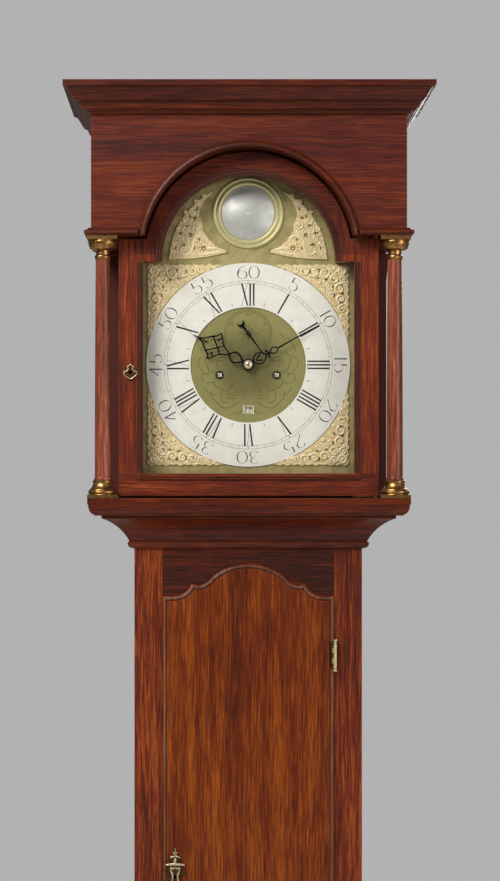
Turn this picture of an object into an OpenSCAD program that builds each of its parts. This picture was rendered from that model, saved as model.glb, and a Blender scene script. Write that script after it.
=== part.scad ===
// Longcase clock with an arched brass dial, free-standing columns and an eight-day weight-driven movement.
// X is to the right seen from the front, the front faces -Y, Z is up, and the origin is on the floor
// at the middle of the clock's outer box. All lengths are millimetres, all angles are degrees.

/* [Case] */
// Height of the whole clock, floor to cornice
case_h = 2110; // [2090:1:2130]
// Depth from the back of the backboard to the front edge of the cornice
case_d = 268; // [262:1:280]
// Thickness of the backboard
backboard_t = 12; // [10:1:14]
// Thickness of the trunk and base sides
side_t = 16; // [14:1:17]
// Thickness of the trunk front, its door and the base front
front_t = 18; // [16:1:20]

/* [Base] */
// Width of the base box
base_w = 410; // [400:1:420]
// Height of the top of the base box
base_h = 430; // [400:1:440]
// How far the plinth stands out from the base box
plinth_out = 15; // [10:1:20]
// Height of the plinth
plinth_h = 110; // [90:1:130]
// Height of the moulding between base and trunk
base_mould_h = 48; // [40:1:56]
// Thickness of the floor of the case
floor_t = 14; // [10:1:18]

/* [Trunk] */
// Width of the trunk
trunk_w = 316; // [312:1:320]
// How far the front of the trunk stands behind the frieze
trunk_setback = 57.5; // [52:0.5:62]
// Height of the bottom edge of the trunk door
door_z = 533; // [520:1:545]
// Width of the trunk door with its lip
door_w = 239; // [230:1:244]
// Drop from the top of the clock to the shoulders of the trunk door
door_shoulder_drop = 701; // [695:1:715]
// Rise of the door's shaped head above its shoulders
door_rise = 45; // [40:1:50]
// Width of the lip moulding round the trunk door
lip_w = 6; // [4:0.5:8]
// Drop from the top of the clock to the trunk door's keyhole
keyhole_drop = 1090; // [1010:5:1160]

/* [Throat moulding] */
// Half width of the throat moulding under the hood
throat_half_w = 201.8; // [200:0.1:204]
// Drop from the top of the clock to the bottom of the throat moulding
throat_drop = 635.5; // [632:0.5:640]
// Drop from the top of the clock to the top of the throat moulding, where the hood rests
throat_top_drop = 589; // [587:0.5:592]

/* [Hood] */
// Width of the frieze
frieze_w = 431; // [427:1:433]
// Projection of the cornice in front of the frieze
cornice_out = 36.5; // [33:0.5:38]
// Height of the cornice moulding
cornice_h = 42; // [38:1:46]
// Drop from the top of the clock to the bottom edge of the frieze board
frieze_drop = 206; // [202:1:210]
// Outer radius of the moulding that follows the arch
arch_r = 154; // [152:1:156]
// Drop from the top of the clock to the centre of that arch
arch_drop = 231; // [228:1:234]
// Width of the moulding along the frieze and arch
bead_w = 9.7; // [8:0.1:11]
// Width of the hood base
hood_base_w = 441; // [437:1:445]
// Drop from the top of the clock to the flat edge of the hood base
hood_edge_drop = 573.5; // [572:0.5:579]
// Drop from the top of the clock to the top of the hood base
hood_floor_drop = 565; // [563:0.5:567]
// Thickness of the hood sides
hood_side_t = 12; // [10:1:13]
// Thickness of the frieze board
frieze_t = 16; // [14:1:18]
// Width of the window in each hood side
window_w = 110; // [90:1:120]
// Drop from the top of the clock to the sill of that window
window_drop = 520; // [490:1:530]
// Drop from the top of the clock to the spring of that window's arched head
window_spring_drop = 310; // [290:1:350]

/* [Columns] */
// Distance from the middle of the clock to a column's axis
column_x = 200; // [199:0.5:201]
// Diameter of a column shaft at its foot
column_d = 22; // [20:0.5:24]
// Diameter of a column shaft at its head
column_top_d = 19.5; // [18:0.5:20]
// Height of a column's base and of its plinth block together
column_base_h = 25; // [23:0.5:26]
// Height of a column's capital
capital_h = 32; // [30:0.5:34]
// Width of the square plinth and abacus of a column
abacus_w = 41; // [39:0.5:42]

/* [Hood door] */
// Width of the hood door
hood_door_w = 357; // [355:0.5:357.5]
// Thickness of the hood door
hood_door_t = 20; // [18:1:21]
// Width of the sight opening of the hood door
sight_w = 290; // [286:1:294]
// Drop from the top of the clock to the lower edge of the sight opening
sight_drop = 531; // [527:1:535]
// Radius of the arched head of the sight opening
sight_r = 119; // [117:1:121]
// Thickness of the glass
glass_t = 3; // [2:0.5:4]

/* [Dial] */
// Width of the dial plate
dial_w = 305; // [303:1:307]
// Drop from the top of the clock to the dial centre
dial_drop = 380; // [379:0.5:381]
// Radius of the arch of the dial plate
dial_arch_r = 123; // [121:1:125]
// Thickness of the dial plate
dial_t = 2.5; // [2:0.1:3]
// Outer diameter of the chapter ring
ring_od = 283; // [280:1:285]
// Inner diameter of the chapter ring
ring_id = 160.6; // [158:0.2:163]
// Thickness of the chapter ring and of the cast ornaments
ring_t = 2; // [1.5:0.1:2.5]

/* [Movement] */
// Distance between the movement's two plates
plate_gap = 62; // [60:0.5:64]
// Thickness of each plate
plate_t = 3; // [2.5:0.1:3.2]
// Distance between the back of the dial plate and the front plate
dial_gap = 30; // [29:0.5:32]
// Width of the plates
plate_w = 166; // [164:1:172]
// Distance of the winding squares to each side of the centre
barrel_x = 39.6; // [39.4:0.1:40]
// Depth of the winding squares below the centre
barrel_drop = 14.3; // [14:0.1:15]
// Height of the escape arbor above the centre
escape_up = 43.8; // [43.7:0.1:44.2]
// Diameter of the barrels
barrel_d = 46; // [44:0.5:50]
// Length of the barrels
barrel_l = 36; // [32:0.5:38]
// Diameter of the gut lines
line_d = 1.6; // [1.2:0.1:2]

/* [Pendulum and weights] */
// Length from the suspension to the centre of the bob
pendulum_l = 1000; // [990:1:1005]
// Diameter of the bob
bob_d = 106; // [96:1:112]
// Thickness of the bob at its middle
bob_t = 27; // [22:1:29]
// Diameter of each weight
weight_d = 60; // [56:1:62]
// Height of each weight
weight_h = 190; // [170:1:210]
// Height of the underside of each weight when it has run down
weight_low_z = 470; // [455:1:500]
// Room left under the seatboard for the pulley of a weight that is wound up
pulley_room = 82; // [80:1:120]

/* [Clearances] */
// Gap round a door or beside a sliding board
joint_gap = 1; // [0.8:0.1:1.5]
// Gap beside flat faces that may touch
seat_gap = 0.3; // [0.2:0.05:0.4]
// Running clearance of a pivot in its hole, on the radius
run_gap = 0.06; // [0.04:0.01:0.1]
// Gap between a wheel or a hand and the arbor that it is fixed on
fit_gap = 0.1; // [0.05:0.01:0.2]

/* [Hidden] */
$fn = 64;
eps = 0.01;

// Places that several pieces share, with the heights counted down from the top of the clock
door_shoulder_z = case_h - door_shoulder_drop;
keyhole_z = case_h - keyhole_drop;
throat_z = case_h - throat_drop;
throat_top_z = case_h - throat_top_drop;
frieze_z = case_h - frieze_drop;
arch_z = case_h - arch_drop;
hood_edge_z = case_h - hood_edge_drop;
hood_floor_z = case_h - hood_floor_drop;
window_z = case_h - window_drop;
window_spring_z = case_h - window_spring_drop;
sight_z = case_h - sight_drop;
dial_z = case_h - dial_drop;
back_y = case_d / 2;
board_y = back_y - backboard_t;
frieze_y = -case_d / 2 + cornice_out;
trunk_y = frieze_y + trunk_setback;
trunk_half = trunk_w / 2;
trunk_in = trunk_half - side_t;
base_half = base_w / 2;
base_y = trunk_y - (base_half - trunk_half);
base_in = base_half - side_t;
plinth_top_h = 14;
side_foot_z = base_h - 60;
keyhole_x = -door_w / 2 + 18;

// Trunk door
lip_t = 5;
door_y = trunk_y - lip_t;
door_back_y = trunk_y + front_t;
knuckle_r = 2.4;
hinge_disc_r = 3.3;
hinge_plate_w = 4;
hinge_leaf_t = 1.6;
door_axis = [door_w / 2 + 0.8, door_y - hinge_disc_r - 0.2];
hinge_zs = [door_z + 190, door_shoulder_z - 100];
hinge_h = 36;
lock_size = [60, 9, 78];
lock_edge = 10;
hood_lock_size = [20, 6, 52];
hood_key = [-hood_door_w / 2 + 16, dial_z - 12];
bolt_r = 2;
bolt_ring = 4 + bolt_r + 0.4;

// Hood
frieze_half = frieze_w / 2;
frieze_in = frieze_half - frieze_t;
frieze_back_y = frieze_y + frieze_t;
frieze_top_z = case_h - cornice_h;
bead_out = bead_w;
arch_in_r = arch_r - bead_w;
column_y = frieze_y + frieze_half - column_x;
hood_half = column_x - abacus_w / 2;
hood_in = hood_half - hood_side_t;
hood_door_y = frieze_y + 22;
hood_door_back_y = hood_door_y + hood_door_t;
hood_side_y = hood_door_back_y + seat_gap;
hood_top_t = 12;
hood_top_z = frieze_top_z - hood_top_t;
seat_t = 18;
plates_z = dial_z - 70;
seat_z = plates_z - seat_t;
weight_travel = seat_z - pulley_room - weight_h - weight_low_z;
mask_t = 9;

// Hood door
hood_door_z = hood_floor_z + 3.2;
hood_shoulder_z = frieze_z - 3.2;
hood_door_arch_r = arch_in_r - 3;
pivot_x = hood_door_w / 2 - 5;
pivot_y = frieze_y + frieze_t / 2;
pivot_r = 2;
pivot_plate_t = 2;
sight_arch_z = sight_z + 291;
rebate = 6;
glass_y = hood_door_y + 11;

// Dial and movement, from the front to the back
dial_y = frieze_y + 60;
dial_back_y = dial_y + dial_t;
ring_y = dial_y - ring_t;
dial_arch_z = dial_z + 142;
dial_low_z = dial_z - dial_w / 2 - 3;
front_plate_y = dial_back_y + dial_gap;
plates_in_y = front_plate_y + plate_t;
back_plate_y = plates_in_y + plate_gap;
movement_back_y = back_plate_y + plate_t;
plates_top_z = dial_z + 92;
mask_y = ring_y - 1.5 - mask_t;

// Arbor places as [x, height above the dial centre]
centre_at = [0, 0];
going_at = [barrel_x, -barrel_drop];
strike_at = [-barrel_x, -barrel_drop];
escape_at = [0, escape_up];
arbor_r = 1.6;
pivot_arbor_r = 1;

// Going train: the wheels' teeth, and modules that follow from the distances between arbors
great_n = 96;
centre_pinion_n = 8;
centre_n = 60;
third_pinion_n = 8;
third_n = 56;
escape_pinion_n = 7;
escape_n = 30;
great_m = 2 * norm(going_at) / (great_n + centre_pinion_n);
centre_m = 0.8;
third_m = 0.75;
centre_third = centre_m * (centre_n + third_pinion_n) / 2;
third_escape = third_m * (third_n + escape_pinion_n) / 2;
third_up = (escape_up * escape_up + centre_third * centre_third - third_escape * third_escape) / (2 * escape_up);
third_at = [sqrt(centre_third * centre_third - third_up * third_up), third_up];
escape_r = 21;
pallet_up = escape_up + escape_r * sqrt(2) + 0.5;

// Piercings of the castings on the dial as [x, height, radius] or [place on the diagonal, radius], and the
// inner edge of the casting in the arch
corner_holes = [[66, 132.6, 2], [76, 130.6, 2.8], [87, 129, 3.2], [86, 121.4, 1.8], [98, 131, 2.8], [97, 118.5, 3.4],
    [109, 129, 3], [108, 118, 2.6], [119, 132, 2.4]];
corner_eyes = [[105.6, 2.2], [117, 3.4], [128.5, 2.8]];
arch_inner = [[52, 95], [60, 88], [66, 78], [68, 66], [63, 54], [63, 44], [54, 31], [42, 21], [29, 14.5], [58, 8], [80, 5.5]];
arch_holes = [[60, 85, 1.8], [72, 75, 3], [75, 62, 2.4], [81, 64, 2], [71, 52, 2.8], [86, 53, 3.2], [95, 40, 3],
    [80, 38, 3.2], [90, 24, 3.2], [100, 20, 2.2], [76, 20, 2.6], [62, 20, 3.4], [68, 32, 1.8]];

// Boss in the arch
boss_up = 69;
boss_ring_r = 50;
boss_r = 38;
boss_h = 7;

// Strike train
strike_n = 84;
pin_pinion_n = 8;
pin_n = 64;
strike_pin = great_m * (strike_n + pin_pinion_n) / 2;
pin_dx = -5;
pin_m = 0.6;
pin_at = [strike_at.x + pin_dx, strike_at.y + sqrt(strike_pin * strike_pin - pin_dx * pin_dx)];

// Motion work
cannon_n = 40;
minute_n = 40;
minute_pinion_n = 6;
hour_n = 72;
motion_d = 26;
cannon_m = 2 * motion_d / (cannon_n + minute_n);
hour_m = 2 * motion_d / (minute_pinion_n + hour_n);
motion_turn = 205;
minute_at = [motion_d * sin(motion_turn), motion_d * cos(motion_turn)];

// Planes of the wheels, each the wheel's back face
wheel_t = 2.4;
great_y = plates_in_y + 49;
centre_wheel_y = plates_in_y + 57;
third_wheel_y = plates_in_y + 14;
escape_wheel_y = plates_in_y + 26;
pin_wheel_y = plates_in_y + 56;
cannon_y = front_plate_y - 3;
hour_wheel_y = front_plate_y - 8;
barrel_y = plates_in_y + 42;

// Hands, seen from the front, clockwise from twelve
hour_turn = 298.8;
minute_turn = 60.7;
seconds_turn = 143.7;
hour_len = 81.6;
minute_len = 116;
seconds_len = 33.7;
seconds_tail = 21;
hand_t = 1.1;
seconds_y = dial_y - 2;
hour_hand_y = ring_y - 2.6;
minute_hand_y = hour_hand_y - hand_t - 2;

// Calendar
calendar_drop = 62.5;
calendar_r = 27;
calendar_print_r = 20;
calendar_at = [0, -calendar_drop - calendar_print_r];

// Pendulum and weights
suspension_z = dial_z + pallet_up;
pendulum_y = movement_back_y + 25;
rod_r = 1.7;
bob_z = suspension_z - pendulum_l;
weight_y = (barrel_y + barrel_y - barrel_l) / 2;
pulley_r = 20;
line_x = barrel_x + barrel_d / 2 + line_d / 2;
weight_x = line_x + pulley_r;
anchor_x = weight_x + pulley_r;
weight_top_z = weight_low_z + weight_h;
pulley_z = weight_top_z + 46;

bolt_at = [plate_w / 2 - 9 - bolt_ring, plates_in_y + 9];

// A point at radius r and angle a, counter-clockwise from +X
function polar(c, r, a) = [c.x + r * cos(a), c.y + r * sin(a)];

// Points along an arc
function arc(c, r, a0, a1, n) = [for (i = [0:n]) polar(c, r, a0 + (a1 - a0) * i / n)];

// Points mirrored about the vertical axis and put in the other order
function mirrored(p) = [for (i = [len(p) - 1:-1:0]) [-p[i].x, p[i].y]];

// A closed outline from its right half, listed upwards
function both_sides(p) = concat(p, mirrored(p));

// An S-shaped curve that runs level at both ends of its rise
function cyma(a, b, n) = [for (i = [0:n]) [a.x + (b.x - a.x) * i / n, a.y + (b.y - a.y) * (1 - cos(180 * i / n)) / 2]];

// A quarter round that leaves a level and reaches b upright
function quarter(a, b, n) = [for (i = [0:n]) [a.x + (b.x - a.x) * sin(90 * i / n), a.y + (b.y - a.y) * (1 - cos(90 * i / n))]];

// A hollow that leaves a upright and reaches b level
function hollow(a, b, n) = [for (i = [0:n]) [a.x + (b.x - a.x) * (1 - cos(90 * i / n)), a.y + (b.y - a.y) * sin(90 * i / n)]];

// A shallow cove from a up to b, hollowed by depth in its middle
function cove(a, b, depth, n) = let (d = (b - a) / norm(b - a))
    [for (i = [0:n]) let (t = i / n) a + (b - a) * t + [-d.y, d.x] * depth * 4 * t * (1 - t)];

// A box from its least and greatest corners
module block(low, high) {
    translate(low) cube(high - low);
}

// The same piece on both sides of the clock
module pair() {
    children();
    mirror([1, 0, 0]) children();
}

// A flat shape, drawn as seen from the front, whose back face lies at y = back
module facing(back, t) {
    translate([0, back, 0]) rotate([90, 0, 0]) linear_extrude(t) children();
}

// A round bar along Y, seen from the front at p above the dial centre
module bar(p, r, front, back) {
    translate([p.x, back, dial_z + p.y]) rotate([90, 0, 0]) cylinder(r = r, h = back - front);
}

// A moulding that runs round the front and both sides of a box, mitred at the corners.
// The profile lists [distance out from the box, height], upwards, and wall is its thickness inside.
module wrapped(profile, half, front, wall) {
    last = len(profile) - 1;
    difference() {
        intersection() {
            facing(back_y, back_y + case_d) polygon(both_sides([for (p = profile) [half + p.x, p.y]]));
            rotate([90, 0, 90]) translate([0, 0, -case_d - half]) linear_extrude(2 * (half + case_d))
                polygon(concat([for (p = profile) [front - p.x, p.y]],
                    [[back_y, profile[last].y], [back_y, profile[0].y]]));
        }
        block([-half + wall, front + wall, profile[0].y - 1], [half - wall, back_y + 1, profile[last].y + 1]);
    }
}

// Angle at the centre of the circle r1 between the line of centres and where it meets the circle r2
function meeting(r1, r2, dist) = acos((r1 * r1 + dist * dist - r2 * r2) / (2 * r1 * dist));

// The outline of the trunk door's shaped head, drawn in from its edge by d: shoulders, coves that
// end in a nose on each side, and a crown between two hollows
function door_outline(d) = let (
        s = door_rise / 45,
        top = door_shoulder_z + door_rise,
        nose = 16.6 * s,
        cove_r = 27 * s + d,
        cove_c = [door_w / 2 - 15.5, door_shoulder_z + 27 * s],
        cove_end = 180 + asin((27 * s - nose + d) / cove_r),
        dip_r = 25.5 * s + d,
        dip_c = [door_w / 2 - 47.5, door_shoulder_z + 40.5 * s],
        drop = dip_c.y - top,
        near = 24.5 * s,
        crown = (dip_c.x * dip_c.x + drop * drop - near * near) / (2 * (near - drop)),
        crown_r = crown - d,
        crown_c = [0, top - crown],
        dist = norm(dip_c - crown_c),
        dir = atan2(dip_c.y - crown_c.y, dip_c.x - crown_c.x)
    ) both_sides(concat(
        [[door_w / 2 - d, door_z + d], [door_w / 2 - d, door_shoulder_z - d]],
        arc(cove_c, cove_r, 270, cove_end, 6),
        [[dip_c.x + 2, door_shoulder_z + nose - d]],
        arc(dip_c, dip_r, 268, 180 + dir - meeting(dip_r, crown_r, dist), 6),
        arc(crown_c, crown_r, dir + meeting(crown_r, dip_r, dist), 90, 8)));

module plinth() {
    top = plinth_h - plinth_top_h;
    profile = concat([[plinth_out, 0], [plinth_out, top], [plinth_out - 2, top + 2]],
        quarter([plinth_out - 4, top + 3], [0, plinth_h], 6));
    color("#4a2018") wrapped(profile, base_half, base_y, 0);
}

module base_front() {
    color("#6b3020") difference() {
        block([-base_half, base_y, 0], [base_half, base_y + front_t, base_h]);
        // a fielded panel, sunk round its raised middle
        translate([0, base_y, 0]) rotate([90, 0, 0]) translate([0, 0, -3]) linear_extrude(4) difference() {
            polygon([[-145, plinth_h + 45], [145, plinth_h + 45], [145, base_h - 45], [-145, base_h - 45]]);
            polygon([[-138, plinth_h + 52], [138, plinth_h + 52], [138, base_h - 52], [-138, base_h - 52]]);
        }
    }
}

module base_sides() {
    color("#5a2a1c") pair() block([base_in, base_y + front_t, 0], [base_half, board_y, base_h]);
}

module case_floor() {
    color("#8a6a48") block([-base_in, base_y + front_t, 30], [base_in, board_y, 30 + floor_t]);
}

module base_moulding() {
    out = base_half - trunk_half;
    top = base_h + base_mould_h;
    profile = concat([[out + 8, base_h], [out + 8, base_h + 5], [out + 5, base_h + 7], [out + 5, base_h + 10]],
        cyma([out + 3, base_h + 11], [8, top - 9], 10),
        [[8, top - 6], [5, top - 4], [5, top - 1.5], [3, top]]);
    color("#4a2018") wrapped(profile, trunk_half, trunk_y, 0);
}

// The backboard is widened beside the base, and its ears close the back of the hood
module backboard() {
    ear = column_x + 5;
    ear_top = frieze_z - 3;
    color("#7a5a3c") facing(back_y, backboard_t) polygon(both_sides([
        [base_half, 0], [base_half, base_h], [trunk_half, base_h],
        [trunk_half, hood_floor_z + 1], [ear, hood_floor_z + 1], [ear, ear_top - 42],
        [ear + 2, ear_top - 22], [ear + 6, ear_top - 7], [ear + 6, ear_top],
        [hood_in - joint_gap, ear_top], [hood_in - joint_gap, hood_top_z - 2]]));
}

module trunk_frame() {
    color("#5a2a1c") difference() {
        block([-trunk_half, trunk_y, side_foot_z], [trunk_half, door_back_y, throat_top_z]);
        facing(door_back_y + 1, front_t + 2) polygon(door_outline(lip_w - joint_gap));
    }
}

module trunk_sides() {
    color("#5a2a1c") pair() block([trunk_in, door_back_y, side_foot_z], [trunk_half, board_y, seat_z]);
}

module throat_moulding() {
    out = throat_half_w - trunk_half;
    profile = concat(
        [[0, throat_z], [6.4, throat_z + 2], [8.4, throat_z + 4.5], [9.4, throat_z + 7.5], [8.6, throat_z + 9.6],
            [6, throat_z + 10.5]],
        cove([6.8, throat_z + 10.7], [out - 1.5, throat_top_z - 4], 4.5, 9),
        [[out, throat_top_z - 4], [out, throat_top_z]]);
    color("#4a2018") wrapped(profile, trunk_half, trunk_y, 0);
}

// The board that the movement stands on, with holes for the lines
module seatboard() {
    color("#8a6a48") difference() {
        block([-trunk_half, door_back_y, seat_z], [trunk_half, movement_back_y + 5, plates_z]);
        pair() for (x = [line_x, anchor_x])
            translate([x, weight_y, seat_z - 1]) cylinder(d = line_d + 6, h = seat_t + 2);
        pair() translate([bolt_at.x, bolt_at.y, seat_z - 1]) cylinder(r = bolt_r + seat_gap, h = seat_t + 2);
    }
}

// One leaf of each trunk door hinge: a plate seen in plan as a low and a high corner, a web that
// brings it to the pin, and its share of the five knuckles
module hinge_leaf(plate, web, knuckles) {
    step = hinge_h / 5;
    for (z = hinge_zs) difference() {
        union() {
            block([plate[0].x, plate[0].y, z], [plate[1].x, plate[1].y, z + hinge_h]);
            for (k = knuckles) {
                block([web[0].x, web[0].y, z + k * step], [web[1].x, web[1].y, z + (k + 1) * step - 0.2]);
                translate([door_axis.x, door_axis.y, z + k * step]) cylinder(r = knuckle_r, h = step - 0.2);
            }
        }
        translate([door_axis.x, door_axis.y, z - 1]) cylinder(r = 1.5 + run_gap, h = hinge_h + 2);
    }
}

// The leaves on the trunk, with the pins and the disc on each of their ends
module trunk_hinge_leaves() {
    x = door_w / 2 + seat_gap;
    color("#8a6a38") {
        hinge_leaf([[x, trunk_y - hinge_leaf_t], [x + hinge_plate_w, trunk_y]], [[x, door_axis.y], [x + 2, trunk_y]], [0, 2, 4]);
        for (z = hinge_zs) translate([door_axis.x, door_axis.y, z]) {
            translate([0, 0, -3]) cylinder(r = 1.5, h = hinge_h + 6);
            for (end = [-4, hinge_h + 2]) translate([0, 0, end]) cylinder(r = hinge_disc_r, h = 2);
        }
    }
}

module trunk_door() {
    color("#a0501a") difference() {
        union() {
            facing(trunk_y - seat_gap, lip_t - seat_gap) polygon(door_outline(0));
            facing(door_back_y, front_t + seat_gap + eps) polygon(door_outline(lip_w + joint_gap));
        }
        // the sunk quirk inside the lip moulding
        facing(door_y + 1.4, 3) difference() {
            polygon(door_outline(lip_w - 1));
            polygon(door_outline(lip_w + 1));
        }
        translate([keyhole_x, 0, keyhole_z]) rotate([90, 0, 0]) translate([0, 0, -door_back_y - 1]) cylinder(d = 7, h = 60);
        lock_block();
    }
}

// The box of the trunk door's lock, let into the back of the door by 2
module lock_block() {
    low = [keyhole_x - lock_edge, door_back_y - 2, keyhole_z - lock_size.z / 2];
    block(low, low + lock_size);
}

// A cast escutcheon of scrolls about a keyhole, with a finial, a crossbar and a pendant
module scroll_plate(w, h, hole) {
    difference() {
        union() {
            pair_flat() {
                translate([w * 0.25, h * 0.1]) circle(d = w * 0.5);
                translate([w * 0.3, -h * 0.16]) circle(d = w * 0.4);
                translate([w * 0.17, h * 0.3]) circle(d = w * 0.34);
            }
            translate([0, h * 0.02]) square([w * 0.5, h * 0.62], center = true);
            translate([0, h * 0.42]) circle(d = w * 0.3);
            polygon([[-w * 0.09, h * 0.4], [w * 0.09, h * 0.4], [0, h * 0.56]]);
            translate([0, -h * 0.34]) circle(d = w * 0.34);
            polygon([[-w * 0.16, -h * 0.36], [w * 0.16, -h * 0.36], [0, -h * 0.5]]);
        }
        pair_flat() {
            translate([w * 0.3, h * 0.1]) circle(d = w * 0.2);
            translate([w * 0.33, -h * 0.16]) circle(d = w * 0.14);
            translate([w * 0.18, h * 0.3]) circle(d = w * 0.12);
        }
        circle(d = hole);
        translate([-hole * 0.22, -hole * 1.1]) square([hole * 0.44, hole]);
    }
}

module pair_flat() {
    children();
    mirror([1, 0]) children();
}

module trunk_escutcheon() {
    color("#b08a3c") translate([keyhole_x, 0, keyhole_z]) facing(door_y, 2) scroll_plate(28, 74, 6);
}

module trunk_lock() {
    color("#6a6a66") {
        difference() {
            lock_block();
            translate([keyhole_x, door_back_y + lock_size.y - 4, keyhole_z]) rotate([90, 0, 0]) cylinder(d = 6, h = 30);
        }
        // the pin that the key turns on
        bar([keyhole_x, keyhole_z - dial_z], 1.4, door_y + 4, door_back_y + lock_size.y - 4 + eps);
    }
}

module trunk_door_leaves() {
    x = door_axis.x - knuckle_r - seat_gap;
    plate = [[x - hinge_plate_w, door_y - hinge_leaf_t], [x, door_y]];
    color("#8a6a38") hinge_leaf(plate, [[x - 1, door_axis.y], [door_axis.x, door_y - seat_gap]], [1, 3]);
}

// The base of the hood, open at the back so that it slides onto the trunk
module hood_base() {
    half = hood_base_w / 2;
    low = throat_top_z + seat_gap;
    profile = concat([[-24, low], [-9, low]],
        quarter([-9, low + 1.5], [-1.2, hood_edge_z], 6),
        [[0, hood_edge_z], [0, hood_floor_z]]);
    color("#5a2a1c") difference() {
        wrapped(profile, half, column_y - abacus_w / 2 + 1, half - trunk_half - 2);
        translate([pivot_x, pivot_y, hood_floor_z - 9]) cylinder(r = pivot_r + run_gap, h = 20);
    }
}

// Each side has a window with an arched head
module hood_sides() {
    mid = (hood_side_y + board_y) / 2;
    color("#5a2a1c") pair() difference() {
        block([hood_in, hood_side_y, hood_floor_z], [hood_half, board_y - joint_gap, hood_top_z]);
        translate([hood_in - 1, mid, 0]) rotate([90, 0, 90]) linear_extrude(hood_side_t + 2) side_window(0);
        translate([hood_in - 1, mid, 0]) rotate([90, 0, 90]) linear_extrude(hood_side_t / 2) side_window(6);
    }
}

// The outline of a side window, let out by d
module side_window(d) {
    translate([-window_w / 2 - d, window_z - d]) square([window_w + 2 * d, window_spring_z - window_z + d]);
    translate([0, window_spring_z]) circle(r = window_w / 2 + d);
}

module side_windows() {
    mid = (hood_side_y + board_y) / 2;
    color("#c8d4d0", 0.4) pair() translate([hood_in + hood_side_t / 2 - 1 - glass_t + seat_gap, mid, 0])
        rotate([90, 0, 90]) linear_extrude(glass_t - seat_gap) side_window(6 - seat_gap);
}

module frieze() {
    color("#5a2a1c") {
        difference() {
            block([-frieze_half, frieze_y, frieze_z], [frieze_half, frieze_back_y, frieze_top_z]);
            translate([0, frieze_y - 1, arch_z]) rotate([-90, 0, 0]) cylinder(r = arch_in_r, h = frieze_t + 2, $fn = 96);
            translate([pivot_x, pivot_y, frieze_z - 1]) cylinder(r = pivot_r + run_gap, h = 9);
        }
        pair() difference() {
            block([hood_half, frieze_back_y, frieze_z], [frieze_half, back_y, frieze_top_z]);
            block([hood_half - 1, frieze_back_y - 1, frieze_z + 10], [frieze_in, back_y + 1, frieze_top_z + 1]);
        }
    }
}

// The profile of the moulding under the frieze, as [out, height above its foot]
function bead_profile() = concat([[-2, 0], [bead_out * 0.55, 0]],
    [for (i = [1:6]) [bead_out * (0.55 + 0.45 * sin(30 * i)), bead_w * (0.36 - 0.36 * cos(30 * i))]],
    [[bead_out * 0.5, bead_w * 0.8], [bead_out * 0.3, bead_w], [-2, bead_w]]);

module arch_moulding() {
    profile = [for (p = bead_profile()) if (p.x >= 0) p];
    flat = concat([[0, 0]], profile, [[0, bead_w]]);
    color("#4a2018") {
        difference() {
            wrapped([for (p = flat) [p.x, frieze_z + p.y]], frieze_half, frieze_y, 0);
            translate([0, frieze_y + 1, arch_z]) rotate([90, 0, 0]) cylinder(r = arch_r, h = bead_out + 20, $fn = 96);
        }
        intersection() {
            translate([0, frieze_y, arch_z]) rotate([90, 0, 0]) rotate_extrude($fn = 96)
                polygon([for (p = flat) [arch_in_r + p.y, p.x]]);
            block([-arch_r - 1, frieze_y - bead_out - 1, frieze_z], [arch_r + 1, frieze_y + 1, frieze_top_z]);
        }
    }
}

module cornice() {
    k = cornice_h / 46;
    o = cornice_out;
    z = frieze_top_z;
    profile = concat([[0, z], [1.5, z], [5, z + 1.6 * k], [5, z + 4.6 * k], [7, z + 4.6 * k]],
        quarter([8, z + 5.6 * k], [14.5, z + 12 * k], 5),
        [[14.5, z + 14 * k], [16, z + 14 * k], [16, z + 16.5 * k]],
        cyma([18, z + 17 * k], [o - 2, z + 37 * k], 12),
        [[o, z + 38 * k], [o, case_h]]);
    color("#4a2018") wrapped(profile, frieze_half, frieze_y, frieze_t);
}

module hood_top() {
    color("#7a5a3c") difference() {
        block([-frieze_in, frieze_back_y, hood_top_z], [frieze_in, back_y, frieze_top_z]);
    }
}

// A turned shaft with its swell a third of the way up
module hood_columns() {
    low = hood_floor_z + column_base_h;
    high = frieze_z - capital_h;
    shaft = concat([[0, 0], [column_d / 2 + 1, 0], [column_d / 2 + 1, 2]],
        [for (i = [0:8]) let (t = i / 8) [column_d / 2 - (column_d - column_top_d) / 2 * t * t, 4 + (high - low - 4) * t]],
        [[0, high - low]]);
    color("#6b3020") pair() translate([column_x, column_y, low]) rotate_extrude() polygon(shaft);
}

// The bases and the capitals, each a square block and a turned piece
module column_mounts() {
    r = column_d / 2;
    h = column_base_h;
    base = concat([[0, 5], [r + 8, 5]],
        [for (a = [-60:20:60]) [r + 6.4 + 2.8 * cos(a), h * 0.33 + 3 * sin(a)]],
        [[r + 7, h * 0.5], [r + 5, h * 0.57], [r + 3.4, h * 0.66], [r + 2.2, h * 0.8], [r + 2.9, h * 0.86],
            [r + 2.9, h * 0.96], [r + 2, h], [0, h]]);
    c = capital_h;
    top_r = column_top_d / 2;
    capital = concat([[0, 0], [top_r + 0.6, 0]],
        [for (a = [-60:20:60]) [top_r + 0.4 + 1.2 * cos(a), c * 0.1 + 2.3 * sin(a)]],
        [[top_r - 0.3, c * 0.2], [top_r - 0.3, c * 0.36], [top_r + 1, c * 0.38], [top_r + 4.4, c * 0.4],
            [top_r + 7, c * 0.44], [top_r + 8.4, c * 0.5], [top_r + 9.8, c * 0.62], [abacus_w / 2 - 0.4, c * 0.74],
            [abacus_w / 2 - 0.8, c * 0.81], [0, c * 0.81]]);
    color("#c08a3a") pair() translate([column_x, column_y, 0]) {
        translate([0, 0, hood_floor_z]) {
            translate([0, 0, 2.5]) cube([abacus_w, abacus_w, 5], center = true);
            rotate_extrude() polygon(base);
        }
        translate([0, 0, frieze_z - c]) {
            rotate_extrude() polygon(capital);
            translate([0, 0, c * 0.905]) cube([abacus_w, abacus_w, c * 0.19], center = true);
        }
    }
}

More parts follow.
